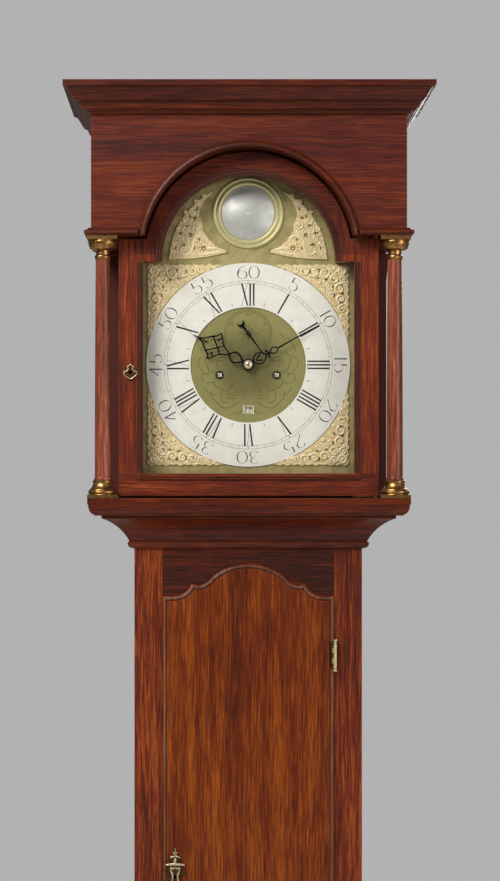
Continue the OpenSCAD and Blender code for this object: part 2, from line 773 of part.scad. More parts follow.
// The wooden mask that frames the dial inside the hood
module dial_mask() {
    half = dial_w / 2 - 3;
    color("#4a2018") difference() {
        facing(mask_y + mask_t, mask_t) polygon(both_sides([[hood_in, hood_floor_z], [hood_in, hood_top_z]]));
        facing(mask_y + mask_t + 1, mask_t + 2) union() {
            translate([-half, dial_low_z + 3]) square([2 * half, dial_arch_z - dial_low_z - 3]);
            translate([0, dial_arch_z]) circle(r = dial_arch_r - 3);
        }
    }
}

// The outline of the hood door, drawn in from its edge by d
module hood_door_outline(d) {
    half = hood_door_w / 2 - d;
    translate([-half, hood_door_z + d]) square([2 * half, hood_shoulder_z - hood_door_z - 2 * d]);
    difference() {
        translate([0, arch_z]) circle(r = hood_door_arch_r - d, $fn = 96);
        translate([-half, hood_door_z - 300]) square([2 * half, 300]);
    }
}

// The sight opening of the hood door, let out by d
module sight_outline(d) {
    translate([-sight_w / 2 - d, sight_z - d]) square([sight_w + 2 * d, sight_arch_z - sight_z + d]);
    translate([0, sight_arch_z]) circle(r = sight_r + d, $fn = 96);
}

module hood_door() {
    color("#6b3020") difference() {
        union() {
            facing(hood_door_back_y, hood_door_t) hood_door_outline(0);
            // the moulding round the sight, in two steps
            facing(hood_door_y, 2.5) sight_outline(8);
            facing(hood_door_y - 2.5, 1.5) sight_outline(4.5);
        }
        facing(hood_door_back_y + 1, hood_door_t + 12) sight_outline(0);
        facing(hood_door_back_y + 1, hood_door_back_y + 1 - glass_y) sight_outline(rebate);
        translate([hood_key.x, hood_door_back_y + 1, hood_key.y]) rotate([90, 0, 0]) cylinder(d = 5, h = 60);
        hood_lock_block();
        // the edge by the lock is bevelled so that it swings past the column
        translate([0, 0, hood_door_z - 1]) linear_extrude(hood_shoulder_z - hood_door_z + 2) polygon([
            [-hood_door_w / 2 - 1, hood_door_y + 2], [-hood_door_w / 2, hood_door_y + 2],
            [-hood_door_w / 2 + 3, hood_door_back_y + 1], [-hood_door_w / 2 - 1, hood_door_back_y + 1]]);
    }
}

module hood_glass() {
    color("#c8d4d0", 0.35) facing(glass_y + glass_t, glass_t) sight_outline(rebate - seat_gap);
}

module hood_escutcheon() {
    color("#b08a3c") translate([hood_key.x, 0, hood_key.y]) facing(hood_door_y, 1.6) difference() {
        union() {
            circle(d = 17);
            translate([0, 9]) circle(d = 6);
            translate([0, -8]) circle(d = 7);
        }
        circle(d = 5);
        translate([-1.2, -6]) square([2.4, 6]);
    }
}

module hood_lock() {
    color("#6a6a66") difference() {
        hood_lock_block();
        translate([hood_key.x, hood_door_back_y - 1.5, hood_key.y]) rotate([90, 0, 0]) cylinder(d = 5, h = 8);
    }
}

// The box of the hood door's lock, flush in the back of the door
module hood_lock_block() {
    low = [hood_key.x - 12, hood_door_back_y - hood_lock_size.y, hood_key.y - hood_lock_size.z / 2];
    block(low, low + hood_lock_size);
}

// Cranked plates at the foot and the head of the door, whose pins stand forward of it
module hood_door_pivots() {
    color("#a07c38") for (end = [[hood_door_z - pivot_plate_t, -1], [hood_shoulder_z, 1]]) {
        translate([0, 0, end[0]]) linear_extrude(pivot_plate_t) {
            translate([pivot_x, pivot_y]) circle(r = 4.5);
            translate([pivot_x - 4.5, pivot_y]) square([9, hood_door_back_y - pivot_y - 2]);
            translate([pivot_x - 30, hood_door_y + 4]) square([30, 12]);
        }
        translate([pivot_x, pivot_y, end[0] + (end[1] > 0 ? pivot_plate_t : -8)]) cylinder(r = pivot_r, h = 8);
    }
}

// The brass dial plate, square below and arched above
module dial_plate() {
    half = dial_w / 2;
    color("#a89a5a") difference() {
        facing(dial_back_y, dial_t) difference() {
            union() {
                translate([-half, dial_low_z]) square([dial_w, dial_w]);
                translate([0, dial_arch_z]) circle(r = dial_arch_r, $fn = 96);
            }
            translate([0, dial_z]) circle(r = 5.6);
            translate([0, dial_z + escape_up]) circle(r = 2.5);
            pair_flat() translate([barrel_x, dial_z - barrel_drop]) circle(r = 6.2);
            translate([-5.5, dial_z - calendar_drop - 4.2]) square([11, 8.4]);
        }
    }
    // the feet that join it to the front plate, and the calendar's stud
    color("#8a7a44") {
        for (p = dial_feet()) bar(p, 3, dial_back_y - eps, front_plate_y);
        bar(calendar_at, 1.5, dial_back_y - eps, dial_back_y + 5);
    }
}

function dial_feet() = [[-62, 76], [62, 76], [-62, -58], [62, -58]];

module chapter_ring() {
    color("#d8d6cc") facing(dial_y, ring_t) translate([0, dial_z]) difference() {
        circle(d = ring_od, $fn = 96);
        circle(d = ring_id, $fn = 96);
    }
}

// A shape and its mirror image across the diagonal of a corner
module both_ways() {
    children();
    mirror([1, -1]) children();
}

// Each corner holds a pierced casting of scrolls between the chapter ring and the edge of the plate
module corner_spandrels() {
    edge = dial_w / 2 - 12.5;
    color("#d8c078") facing(dial_y, ring_t) translate([0, dial_z]) for (turn = [0, 90, 180, 270]) rotate(turn)
        difference() {
            union() {
                translate([34, 34]) square(edge - 35.5);
                both_ways() for (i = [0:9]) translate([44 + 10 * i, edge - 4.8]) circle(d = 9 + i % 2, $fn = 16);
            }
            circle(r = ring_od / 2 + 1, $fn = 96);
            both_ways() for (h = corner_holes) translate([h[0], h[1]]) circle(r = h[2], $fn = 12);
            for (h = corner_eyes) translate([h[0], h[0]]) circle(r = h[1], $fn = 12);
        }
}

// Each side of the arch holds a pierced casting that rises beside the boss
module arch_spandrels() {
    outer = dial_arch_r - 13;
    color("#d8c078") facing(dial_y, ring_t) translate([0, dial_arch_z]) pair_flat() difference() {
        polygon(concat([[outer, 4.5]], arc([0, 0], outer, 4, 64, 14), arch_inner));
        for (h = arch_holes) translate([h[0], h[1]]) circle(r = h[2], $fn = 12);
    }
}

// The domed disc in the arch and the moulded ring round it
module arch_boss() {
    at = [0, dial_arch_z - dial_z + boss_up];
    dome = (boss_r * boss_r + boss_h * boss_h) / (2 * boss_h);
    translate([0, dial_y, dial_z + at.y]) rotate([90, 0, 0]) {
        color("#e0e0dc") intersection() {
            translate([0, 0, boss_h - dome]) sphere(r = dome, $fn = 96);
            cylinder(r = boss_r - 1, h = 20);
        }
        color("#b8a860") rotate_extrude() polygon(concat([[boss_r, 0], [boss_r, 3]],
            [for (i = [0:5]) [boss_r + 3 - 2.5 * cos(36 * i), 3 + 2.2 * sin(36 * i)]],
            [[boss_r + 7, 2.2]],
            [for (i = [0:5]) [boss_r + 9.2 - 2 * cos(36 * i), 2.2 + 1.6 * sin(36 * i)]],
            [[boss_ring_r, 0]]));
    }
}

module calendar_disc() {
    color("#d8d6cc") translate([calendar_at.x, 0, dial_z + calendar_at.y]) facing(dial_back_y + 2.2, 1.4) difference() {
        circle(r = calendar_r);
        circle(r = 1.5 + run_gap);
    }
}

// The outline of the two plates of the movement, less the corners
module plate_outline() {
    half = plate_w / 2;
    translate([0, dial_z]) difference() {
        polygon(both_sides([[half, plates_z - dial_z], [half, plates_top_z - dial_z - 12], [half - 12, plates_top_z - dial_z]]));
    }
}

function pillar_places() = [[-plate_w / 2 + 9, 68], [plate_w / 2 - 9, 68], [-plate_w / 2 + 9, -61], [plate_w / 2 - 9, -61], [0, -56]];

module movement_plate(front, holes) {
    difference() {
        facing(front + plate_t, plate_t) plate_outline();
        for (h = holes) bar(h[0], h[1], front - 1, front + plate_t + 1);
    }
}

// Each hole is [place, radius of the bore]
function pivot_holes(r) = [for (p = [third_at, pin_at]) [p, r + run_gap]];

module front_plate() {
    color("#b89a50") movement_plate(front_plate_y, concat(pivot_holes(pivot_arbor_r), [
        [centre_at, 2 + run_gap], [escape_at, pivot_arbor_r + run_gap], [[0, pallet_up], pivot_arbor_r + run_gap],
        [going_at, 3.5 + run_gap], [strike_at, 3.5 + run_gap], [hammer_at, pivot_arbor_r + run_gap]]));
    // the stud that the minute wheel turns on
    color("#8a8a86") bar(minute_at, 1.2, dial_back_y + 4, front_plate_y + eps);
}

module back_plate() {
    color("#b89a50") movement_plate(back_plate_y, concat(pivot_holes(pivot_arbor_r), [
        [centre_at, pivot_arbor_r + run_gap], [escape_at, pivot_arbor_r + run_gap], [[0, pallet_up], 9],
        [going_at, 2.5 + run_gap], [strike_at, 2.5 + run_gap], [hammer_at, pivot_arbor_r + run_gap]]));
}

// Turned pillars with a knop in the middle, between the plates
module pillars() {
    g = plate_gap;
    color("#c8a858") for (p = pillar_places()) translate([p.x, back_plate_y, dial_z + p.y]) rotate([90, 0, 0])
        rotate_extrude() polygon(concat([[0, 0], [5.5, 0], [5.5, 3], [4, 4]],
            [for (i = [0:8]) [4 + 2.6 * pow(sin(180 * i / 8), 2), g * 0.36 + g * 0.28 * i / 8]],
            [[4, g - 4], [5.5, g - 3], [5.5, g], [0, g]]));
}

hammer_at = [-60, 40];
cock_w = 44;

// The cock behind the back plate that carries the pallet arbor and the pendulum
module back_cock() {
    y1 = movement_back_y;
    y2 = pendulum_y + 8;
    z = suspension_z;
    color("#b89a50") difference() {
        union() {
            // two feet on the back plate, on each side of the pallet arbor
            pair() block([cock_w / 2 - 9, y1, z - 8], [cock_w / 2, y1 + 12, z + 12]);
            block([-cock_w / 2, y1 + 9, z - 8], [cock_w / 2, y1 + 13, z + 12]);
            // the bracket over the suspension
            block([-7, y1 + 9, z + 4], [7, y2, z + 12]);
            // the chops that hold the fixed end of the suspension spring
            block([-3, pendulum_y - 5, z + 11], [3, pendulum_y + 5, z + 16]);
        }
        bar([0, pallet_up], pivot_arbor_r + run_gap, y1, y1 + 14);
        block([-0.4, pendulum_y - 4.2, z + 3], [0.4, pendulum_y + 4.2, z + 12]);
        // the corners over the arch of the cock are cut away
        pair() translate([cock_w / 2 + 3, y1, z + 15]) rotate([-90, 0, 0]) cylinder(r = 9, h = 20);
    }
    color("#8a8a86") block([-0.15, pendulum_y - 4, z + 0.3], [0.15, pendulum_y + 4, z + 12 + eps]);
}

// The bell over the plates, on its stand from the back plate
module bell() {
    r = bell_r;
    y = bell_y;
    z = bell_z;
    crown = z + r * 0.72;
    color("#b8b0a0") translate([0, y, z]) rotate_extrude() polygon(concat(
        [[3, r * 0.72], [7, r * 0.72], [r * 0.4, r * 0.7]],
        [for (i = [1:8]) [r * 0.4 + r * 0.42 * sin(90 * i / 8), r * 0.28 + r * 0.42 * cos(90 * i / 8)]],
        [[r, 0], [r - 3.5, 0]],
        [for (i = [8:-1:1]) [r * 0.4 + (r * 0.42 - 2.2) * sin(90 * i / 8), r * 0.28 + (r * 0.42 - 2.2) * cos(90 * i / 8)]],
        [[r * 0.4, r * 0.7 - 2.2], [3, r * 0.72 - 2.2]]));
    color("#8a8a86") {
        translate([-6, 0, 0]) rotate([90, 0, 90]) linear_extrude(12) polygon([
            [movement_back_y, suspension_z + 8], [movement_back_y + 3, suspension_z + 8],
            [movement_back_y + 3, crown + 3], [y - 6, crown + 3], [y - 6, crown + 0.2], [movement_back_y, crown + 0.2]]);
        translate([0, y, crown - 6]) cylinder(r = 3 - run_gap, h = 7);
        translate([0, y, crown - 8]) cylinder(r = 5, h = 8 - 2.2 - seat_gap);
    }
}

bell_r = 48;
bell_y = plates_in_y + plate_gap / 2;
bell_z = plates_top_z + 14;

// The hammer's arbor, arm and head, at rest just clear of the bell
module hammer() {
    y = bell_y;
    head_z = bell_z + 5;
    x = hammer_at.x;
    z = dial_z + hammer_at.y;
    color("#8a8a86") {
        difference() {
            union() {
                bar(hammer_at, 2.4, plates_in_y + 0.4, back_plate_y - 0.4);
                block([x - 1.5, y - 2.5, z], [x + 1.5, y + 2.5, head_z]);
                translate([x - 4, y, head_z]) rotate([0, 90, 0]) cylinder(r = 5.5, h = -bell_r - 0.8 - x + 4);
            }
            translate([0, y, bell_z - 1]) cylinder(r = bell_r + 0.4, h = 20);
        }
        bar(hammer_at, pivot_arbor_r, front_plate_y + 0.4, plates_in_y + 0.4 + eps);
        bar(hammer_at, pivot_arbor_r, back_plate_y - 0.4 - eps, movement_back_y);
    }
}

// Hooked bolts that hold the lowest pillars down, and the ends of the lines above the seatboard
module seatboard_fittings() {
    p = pillar_places()[3];
    tube = bolt_r;
    ring = bolt_ring;
    y = bolt_at.y;
    z = dial_z + p.y;
    color("#6a6a66") pair() {
        translate([p.x - ring, y, seat_z - 6]) cylinder(r = tube, h = z - seat_z + 6);
        intersection() {
            translate([p.x, y, z]) rotate([90, 0, 0]) rotate_extrude() translate([ring, 0]) circle(r = tube, $fn = 24);
            block([p.x - ring - 3, y - 3, z], [p.x + ring + 3, y + 3, z + 12]);
        }
        difference() {
            translate([p.x - ring, y, seat_z - 5]) cylinder(r = 5.5, h = 5, $fn = 6);
            translate([p.x - ring, y, seat_z - 6]) cylinder(r = tube, h = 7);
        }
    }
    color("#c8a868") pair() {
        translate([line_x, weight_y, seat_z]) cylinder(d = line_d, h = dial_z - barrel_drop - seat_z);
        translate([anchor_x, weight_y, seat_z]) cylinder(d = line_d, h = seat_t);
        translate([anchor_x - 7, weight_y, plates_z + 1.5]) rotate([0, 90, 0]) cylinder(r = 1.5, h = 14);
    }
}

// The points of a toothed wheel: n teeth about the pitch radius r, whose tips stand up by add and
// roots down by ded, with half widths at root and tip as shares of the pitch, the first tooth at turn
function teeth(n, r, add, ded, root, tip, turn) = [
    for (i = [0:n - 1], k = [[r - ded, -root], [r + add, -tip], [r + add, tip], [r - ded, root]])
        polar([0, 0], k[0], 90 - turn - (i + k[1]) * 360 / n)];

// One opening between two arms of a wheel
function opening(r0, r1, arm, a0, a1) = concat(
    arc([0, 0], r1, a0 + asin(arm / 2 / r1), a1 - asin(arm / 2 / r1), 8),
    arc([0, 0], r0, a1 - asin(arm / 2 / r0), a0 + asin(arm / 2 / r0), 4));

// A toothed wheel with crossed-out arms, at p above the dial centre, its back face at y = back
module wheel(p, back, t, points, root_r, bore, arms) {
    rim = root_r - 3;
    hub = bore + 3;
    translate([p.x, 0, dial_z + p.y]) facing(back, t) difference() {
        polygon(points);
        if (rim > hub + 4) for (k = [0:arms - 1])
            polygon(opening(hub, rim, 3, 360 * k / arms + 45, 360 * (k + 1) / arms + 45));
        circle(r = (bore + fit_gap) / cos(15), $fn = 12);
    }
}

// A wheel of n teeth of module m, and a pinion of n leaves: a wheel's tips are tall and its roots shallow
module train_wheel(p, back, n, m, bore, arms, turn) {
    r = n * m / 2;
    wheel(p, back, wheel_t, teeth(n, r, m * 0.85, m * 1.1, 0.235, 0.1, turn), r - m * 1.1, bore, arms);
}

module pinion(p, front, back, n, m, bore, turn) {
    r = n * m / 2;
    translate([p.x, 0, dial_z + p.y]) facing(back, back - front) difference() {
        polygon(teeth(n, r, m * 0.4, m * 1.45, 0.17, 0.14, turn));
        circle(r = (bore + fit_gap) / cos(15), $fn = 12);
    }
}

// An arbor between the plates, with its two pivots
module arbor(p, r) {
    bar(p, r, plates_in_y + 0.3, back_plate_y - 0.3);
    bar(p, pivot_arbor_r, front_plate_y, movement_back_y);
}

// The grooved barrel, its great wheel and the winding square
module barrel(p, n, m, turn) {
    r = barrel_d / 2;
    grooves = 12;
    pitch = (barrel_l - 4) / grooves;
    color("#b89a50") {
        translate([p.x, barrel_y, dial_z + p.y]) rotate([90, 0, 0]) rotate_extrude() polygon(concat(
            [[4, 0], [r + 1.2, 0], [r + 1.2, 2], [r, 2]],
            [for (i = [0:grooves - 1], k = [[0.25, 0], [0.5, -0.7], [0.75, 0], [1, 0]]) [r + k[1], 2 + pitch * (i + k[0])]],
            [[r, barrel_l - 2], [r + 1.2, barrel_l - 2], [r + 1.2, barrel_l], [4, barrel_l]]));
        train_wheel(p, great_y, n, m, 4, 4, turn);
        // the ratchet wheel and its click between the barrel and the great wheel
        translate([p.x, 0, dial_z + p.y]) facing(great_y - wheel_t - 0.2, 1.8) difference() {
            polygon([for (i = [0:23], k = [[r * 0.58, 0], [r * 0.66, 0.1]]) polar([0, 0], k[0], (i + k[1]) * 15)]);
            circle(r = (4 + fit_gap) / cos(15), $fn = 12);
        }
    }
    color("#8a8a86") {
        bar(p, 3.5, front_plate_y, barrel_y - barrel_l);
        bar(p, 4, barrel_y - barrel_l - eps, great_y + 3);
        bar(p, 2.5, great_y + 3 - eps, movement_back_y);
        translate([p.x, 0, dial_z + p.y]) facing(front_plate_y + eps, front_plate_y - dial_back_y + 5)
            square(5, center = true);
    }
}

module going_barrel() {
    barrel(going_at, great_n, great_m, 0);
}

module strike_barrel() {
    barrel(strike_at, strike_n, great_m, 0);
}

// The centre arbor with its pinion and wheel, and the cannon pinion before the front plate
module centre_wheel() {
    color("#8a8a86") {
        bar(centre_at, 2, minute_hand_y - hand_t - 3, plates_in_y + 0.3);
        bar(centre_at, arbor_r, plates_in_y + 0.3 - eps, back_plate_y - 0.3);
        bar(centre_at, pivot_arbor_r, back_plate_y - 0.3 - eps, movement_back_y);
        pinion(centre_at, great_y - 6, great_y + 3, centre_pinion_n, great_m, arbor_r, centre_pinion_turn);
    }
    color("#b89a50") {
        train_wheel(centre_at, centre_wheel_y, centre_n, centre_m, arbor_r, 4, 0);
        train_wheel(centre_at, cannon_y, cannon_n, cannon_m, 2, 5, 0);
        difference() {
            bar(centre_at, 3, minute_hand_y + 0.1, cannon_y - wheel_t);
            bar(centre_at, 2.02, minute_hand_y - 1, cannon_y);
        }
    }
}

module third_wheel() {
    color("#8a8a86") {
        arbor(third_at, arbor_r);
        pinion(third_at, centre_wheel_y - 5, centre_wheel_y + 1, third_pinion_n, centre_m, arbor_r, third_pinion_turn);
    }
    color("#b89a50") train_wheel(third_at, third_wheel_y, third_n, third_m, arbor_r, 4, third_turn);
}

// The escape wheel has thirty pointed teeth with hollow backs
module escape_wheel() {
    step = 360 / escape_n;
    color("#8a8a86") {
        bar(escape_at, arbor_r, third_wheel_y + 3, back_plate_y - 0.3);
        bar(escape_at, pivot_arbor_r, seconds_y - hand_t - 1, third_wheel_y + 3 + eps);
        bar(escape_at, pivot_arbor_r, back_plate_y - 0.3 - eps, movement_back_y);
        pinion(escape_at, third_wheel_y - 5, third_wheel_y + 2.4, escape_pinion_n, third_m, 1, escape_pinion_turn);
    }
    color("#b89a50") wheel(escape_at, escape_wheel_y, 1.6,
        [for (i = [0:escape_n - 1], k = [[escape_r - 3.6, 0], [escape_r - 3.6, 0.35], [escape_r, 0.5], [escape_r - 0.2, 0.56]])
            polar([0, 0], k[0], 90 + seconds_turn - (i + k[1]) * step)],
        escape_r - 3.6, arbor_r, 4);
}

// The train that the hands follow: cannon pinion to minute wheel, minute pinion to hour wheel
module minute_wheel() {
    color("#b89a50") train_wheel(minute_at, cannon_y, minute_n, cannon_m, 1.2, 4, minute_wheel_turn);
    color("#8a8a86") pinion(minute_at, hour_wheel_y - wheel_t - 1.5, cannon_y - wheel_t, minute_pinion_n, hour_m,
        1.2, minute_pinion_turn);
}

module hour_wheel() {
    color("#b89a50") {
        train_wheel(centre_at, hour_wheel_y, hour_n, hour_m, 5, 4, 0);
        difference() {
            bar(centre_at, 5, hour_hand_y + 0.1, hour_wheel_y);
            bar(centre_at, 3 + run_gap, hour_hand_y - 1, hour_wheel_y + 1);
        }
    }
}

// The angles at which the leaves lie between the teeth that they meet, worked out at rest
function bearing(a, b) = atan2(b.x - a.x, b.y - a.y);
function in_mesh(a, turn_a, n_a, b, n_b) = let (dir = bearing(a, b), step = 360 / n_a, off = (dir - turn_a) / step)
    dir + 180 + (off - floor(off)) * 360 / n_b + 180 / n_b;
centre_pinion_turn = in_mesh(going_at, 0, great_n, centre_at, centre_pinion_n);
third_pinion_turn = in_mesh(centre_at, 0, centre_n, third_at, third_pinion_n);
third_turn = 0;
escape_pinion_turn = in_mesh(third_at, third_turn, third_n, escape_at, escape_pinion_n);
minute_wheel_turn = in_mesh(centre_at, 0, cannon_n, minute_at, minute_n);
minute_pinion_turn = in_mesh(centre_at, 0, hour_n, minute_at, minute_pinion_n);
pin_pinion_turn = in_mesh(strike_at, 0, strike_n, pin_at, pin_pinion_n);

// The strike train's second wheel, with the eight pins that lift the hammer
module pin_wheel() {
    color("#8a8a86") {
        arbor(pin_at, arbor_r);
        pinion(pin_at, great_y - 6, great_y + 3, pin_pinion_n, great_m, arbor_r, pin_pinion_turn);
        for (k = [0:7]) let (q = polar(pin_at, pin_n * pin_m / 2 - 2.6, 45 * k))
            bar(q, 0.8, pin_wheel_y - wheel_t - 4, pin_wheel_y - wheel_t);
    }
    color("#b89a50") train_wheel(pin_at, pin_wheel_y, pin_n, pin_m, arbor_r, 4, 0);
}

// The anchor and its pallets, its arbor, and the crutch whose fork takes the pendulum rod
module anchor() {
    back = pendulum_y - 6;
    fork_z = suspension_z - 108;
    color("#7a7a78") {
        translate([0, 0, suspension_z]) facing(escape_wheel_y + 0.6, 2.8) difference() {
            polygon(concat([[0, -4.6], [6, -3.6], [13, -5.5], [16.6, -9.5], [15.9, -14.4], [18, -13.4], [21.4, -11.5],
                [21, -6.5], [14, 0.5], [7, 4.4], [0, 6]],
                mirrored([[6, -3.6], [13, -5.5], [16.6, -9.5], [15.9, -14.4], [18, -13.4], [21.4, -11.5],
                [21, -6.5], [14, 0.5], [7, 4.4]])));
            circle(r = (arbor_r + fit_gap) / cos(15), $fn = 12);
        }
        bar([0, pallet_up], arbor_r, plates_in_y + 0.3, back_plate_y);
        bar([0, pallet_up], pivot_arbor_r, front_plate_y, plates_in_y + 0.3 + eps);
        bar([0, pallet_up], pivot_arbor_r, back_plate_y - eps, back + 1);
        difference() {
            block([-1.5, back - 1.6, fork_z - 3], [1.5, back, suspension_z + 3]);
            bar([0, pallet_up], pivot_arbor_r, back - 3, back + 1);
        }
        pair() block([rod_r + 0.3, back - 1.6, fork_z - 3], [rod_r + 2.1, pendulum_y + 4, fork_z + 3]);
    }
}

// The suspension spring, rod, brass-faced bob and rating nut
module pendulum() {
    ferrule_z = suspension_z - 30;
    edge = 1.6;
    color("#8a8a86") {
        block([-0.15, pendulum_y - 4, ferrule_z - 1], [0.15, pendulum_y + 4, suspension_z - 0.3]);
        translate([0, pendulum_y, ferrule_z - 10]) cylinder(r = 4.5, h = 10);
        translate([0, pendulum_y, bob_z - bob_d / 2 - 24]) cylinder(r = rod_r, h = ferrule_z - 10 - bob_z + bob_d / 2 + 24);
    }
    color("#b8963c") {
        difference() {
            translate([0, pendulum_y, bob_z]) rotate([90, 0, 0]) rotate_extrude($fn = 96) polygon(concat(
                [[0, -bob_t / 2]],
                [for (i = [1:8]) [bob_d / 2 * sin(90 * i / 8), -edge - (bob_t / 2 - edge) * cos(90 * i / 8)]],
                [for (i = [8:-1:1]) [bob_d / 2 * sin(90 * i / 8), edge + (bob_t / 2 - edge) * cos(90 * i / 8)]],
                [[0, bob_t / 2]]));
            translate([0, pendulum_y, bob_z - bob_d]) cylinder(r = rod_r, h = 2 * bob_d);
        }
        difference() {
            translate([0, pendulum_y, bob_z - bob_d / 2 - 12]) cylinder(r = 8, h = 11);
            translate([0, pendulum_y, bob_z - bob_d]) cylinder(r = rod_r, h = 2 * bob_d);
        }
    }
}

// An iron weight on its pulley, with the bight of the line that runs round the pulley
module weight(side) {
    r = weight_d / 2;
    cheek = 5.6;
    color("#5a5a58") translate([side * weight_x, weight_y, weight_low_z]) rotate_extrude() polygon(concat(
        [[0, 0], [r - 4, 0], [r - 1, 1.5], [r, 5], [r, weight_h - 8]],
        [for (i = [1:5]) [r - 8 + 8 * cos(18 * i), weight_h - 8 + 8 * sin(18 * i)]],
        [[0, weight_h]]));
    color("#b89a50") translate([side * weight_x, weight_y, pulley_z]) rotate([90, 0, 0]) {
        rotate_extrude() polygon([[2.06, -4], [pulley_r + 2, -4], [pulley_r + 2, -3], [pulley_r - line_d / 2 - 0.3, -1.2],
            [pulley_r - line_d / 2 - 0.3, 1.2], [pulley_r + 2, 3], [pulley_r + 2, 4], [2.06, 4]]);
    }
    color("#8a8a86") {
        for (y = [-1, 1]) translate([side * weight_x - 4, weight_y + (y > 0 ? cheek - 1.2 : -cheek - 0.8), weight_top_z + 12])
            cube([8, 2, pulley_z - weight_top_z - 7]);
        translate([side * weight_x - 4, weight_y - cheek - 0.8, weight_top_z + 10]) cube([8, 2 * cheek + 1.6, 3]);
        translate([side * weight_x, weight_y, pulley_z]) rotate([90, 0, 0]) cylinder(r = 2, h = 2 * cheek + 3, center = true);
        translate([side * weight_x, weight_y, weight_top_z - 1]) cylinder(r = 2.4, h = 12);
    }
    color("#c8a868") intersection() {
        translate([side * weight_x, weight_y, pulley_z]) rotate([90, 0, 0]) rotate_extrude()
            translate([pulley_r, 0]) circle(d = line_d, $fn = 16);
        block([side * weight_x - 30, weight_y - 3, pulley_z - 30], [side * weight_x + 30, weight_y + 3, pulley_z]);
    }
}

module going_weight() {
    weight(1);
}

module strike_weight() {
    weight(-1);
}

// The two falls of a line, from the seatboard to the pulley
module line_falls(side) {
    color("#c8a868") for (x = [line_x, anchor_x]) translate([side * x, weight_y, pulley_z])
        cylinder(d = line_d, h = seat_z - pulley_z);
}

module going_line() {
    line_falls(1);
}

module strike_line() {
    line_falls(-1);
}

// A hand's outline along +Y, from its hub: a stem with pierced scrolls, swelling to its tip
module minute_hand() {
    l = minute_len;
    color("#1c2438") translate([0, 0, dial_z]) rotate([0, minute_turn, 0]) facing(minute_hand_y, hand_t) difference() {
        union() {
            circle(r = 6.5);
            polygon(both_sides([[2, 4], [1.3, l * 0.3], [1.1, l * 0.62], [0.5, l - 0.01]]));
            translate([0, 12]) scale([1, 1]) circle(r = 5);
            pair_flat() {
                translate([3.4, 22]) circle(r = 3.4);
                translate([2.6, 29]) circle(r = 2.6);
            }
            translate([0, 36]) circle(r = 2.6);
        }
        circle(r = 2.02);
        translate([0, 12]) circle(r = 2.6);
        pair_flat() {
            translate([3.6, 22]) circle(r = 1.7);
            translate([2.9, 29]) circle(r = 1.2);
        }
    }
    color("#b8a060") difference() {
        bar(centre_at, 4.2, minute_hand_y - hand_t - 1, minute_hand_y - hand_t);
        bar(centre_at, 2.02, minute_hand_y - hand_t - 2, minute_hand_y);
    }
}

module hour_hand() {
    l = hour_len;
    color("#1c2438") translate([0, 0, dial_z]) rotate([0, hour_turn, 0]) facing(hour_hand_y, hand_t) difference() {
        union() {
            circle(r = 8);
            polygon(both_sides([[2.4, 5], [1.6, l * 0.5], [0.6, l]]));
            pair_flat() {
                translate([5.2, 16]) circle(r = 5.4);
                translate([8.5, 28]) circle(r = 6);
                translate([6.2, 39]) circle(r = 4.6);
                translate([3.6, 47.5]) circle(r = 3.6);
            }
            translate([0, 55]) circle(r = 4.4);
        }
        circle(r = 5.02);
        pair_flat() {
            translate([5.6, 16]) circle(r = 3.1);
            translate([9, 28]) circle(r = 3.6);
            translate([6.6, 39]) circle(r = 2.6);
            translate([4, 47.5]) circle(r = 1.6);
        }
        translate([0, 55.4]) circle(r = 2);
    }
}

// The seconds hand, with a crescent at its tail
module seconds_hand() {
    color("#1c2438") translate([0, 0, dial_z + escape_up]) rotate([0, seconds_turn, 0]) facing(seconds_y, hand_t) difference() {
        union() {
            circle(r = 3.2);
            polygon(both_sides([[1.3, -seconds_tail + 6], [0.5, seconds_len]]));
            translate([0, -seconds_tail + 4]) difference() {
                circle(r = 5);
                translate([0, -2.2]) circle(r = 3.9);
            }
        }
        circle(r = 1.02);
    }
}

plinth();
base_front();
base_sides();
base_moulding();
case_floor();
backboard();
trunk_frame();
trunk_sides();
throat_moulding();
seatboard();
trunk_hinge_leaves();
trunk_door();
trunk_escutcheon();
trunk_lock();
trunk_door_leaves();
hood_base();
hood_sides();
side_windows();
frieze();
arch_moulding();
cornice();
hood_top();
hood_columns();
column_mounts();
dial_mask();
hood_door();
hood_glass();
hood_escutcheon();
hood_lock();
hood_door_pivots();
dial_plate();
chapter_ring();
corner_spandrels();
arch_spandrels();
arch_boss();
calendar_disc();
front_plate();
back_plate();
pillars();
back_cock();
bell();
hammer();
seatboard_fittings();
going_barrel();
strike_barrel();
centre_wheel();
minute_hand();
third_wheel();
escape_wheel();
seconds_hand();
minute_wheel();
hour_wheel();
hour_hand();
pin_wheel();
anchor();
pendulum();
going_weight();
strike_weight();
going_line();
strike_line();
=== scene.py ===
# %% [markdown]
# A longcase clock, dressed on its exact frame.
# The solids of the clock come in as they were built: the case, the hood, the dial and the whole movement.
# This lesson gives each of them the finish of the real thing, and adds what is too fine for the solids: the
# engraving and numerals of the dial, the relief of the castings and the small brass fittings.

# %% Load the frame and keep its box
import math

import bpy
from mathutils import Matrix, Vector


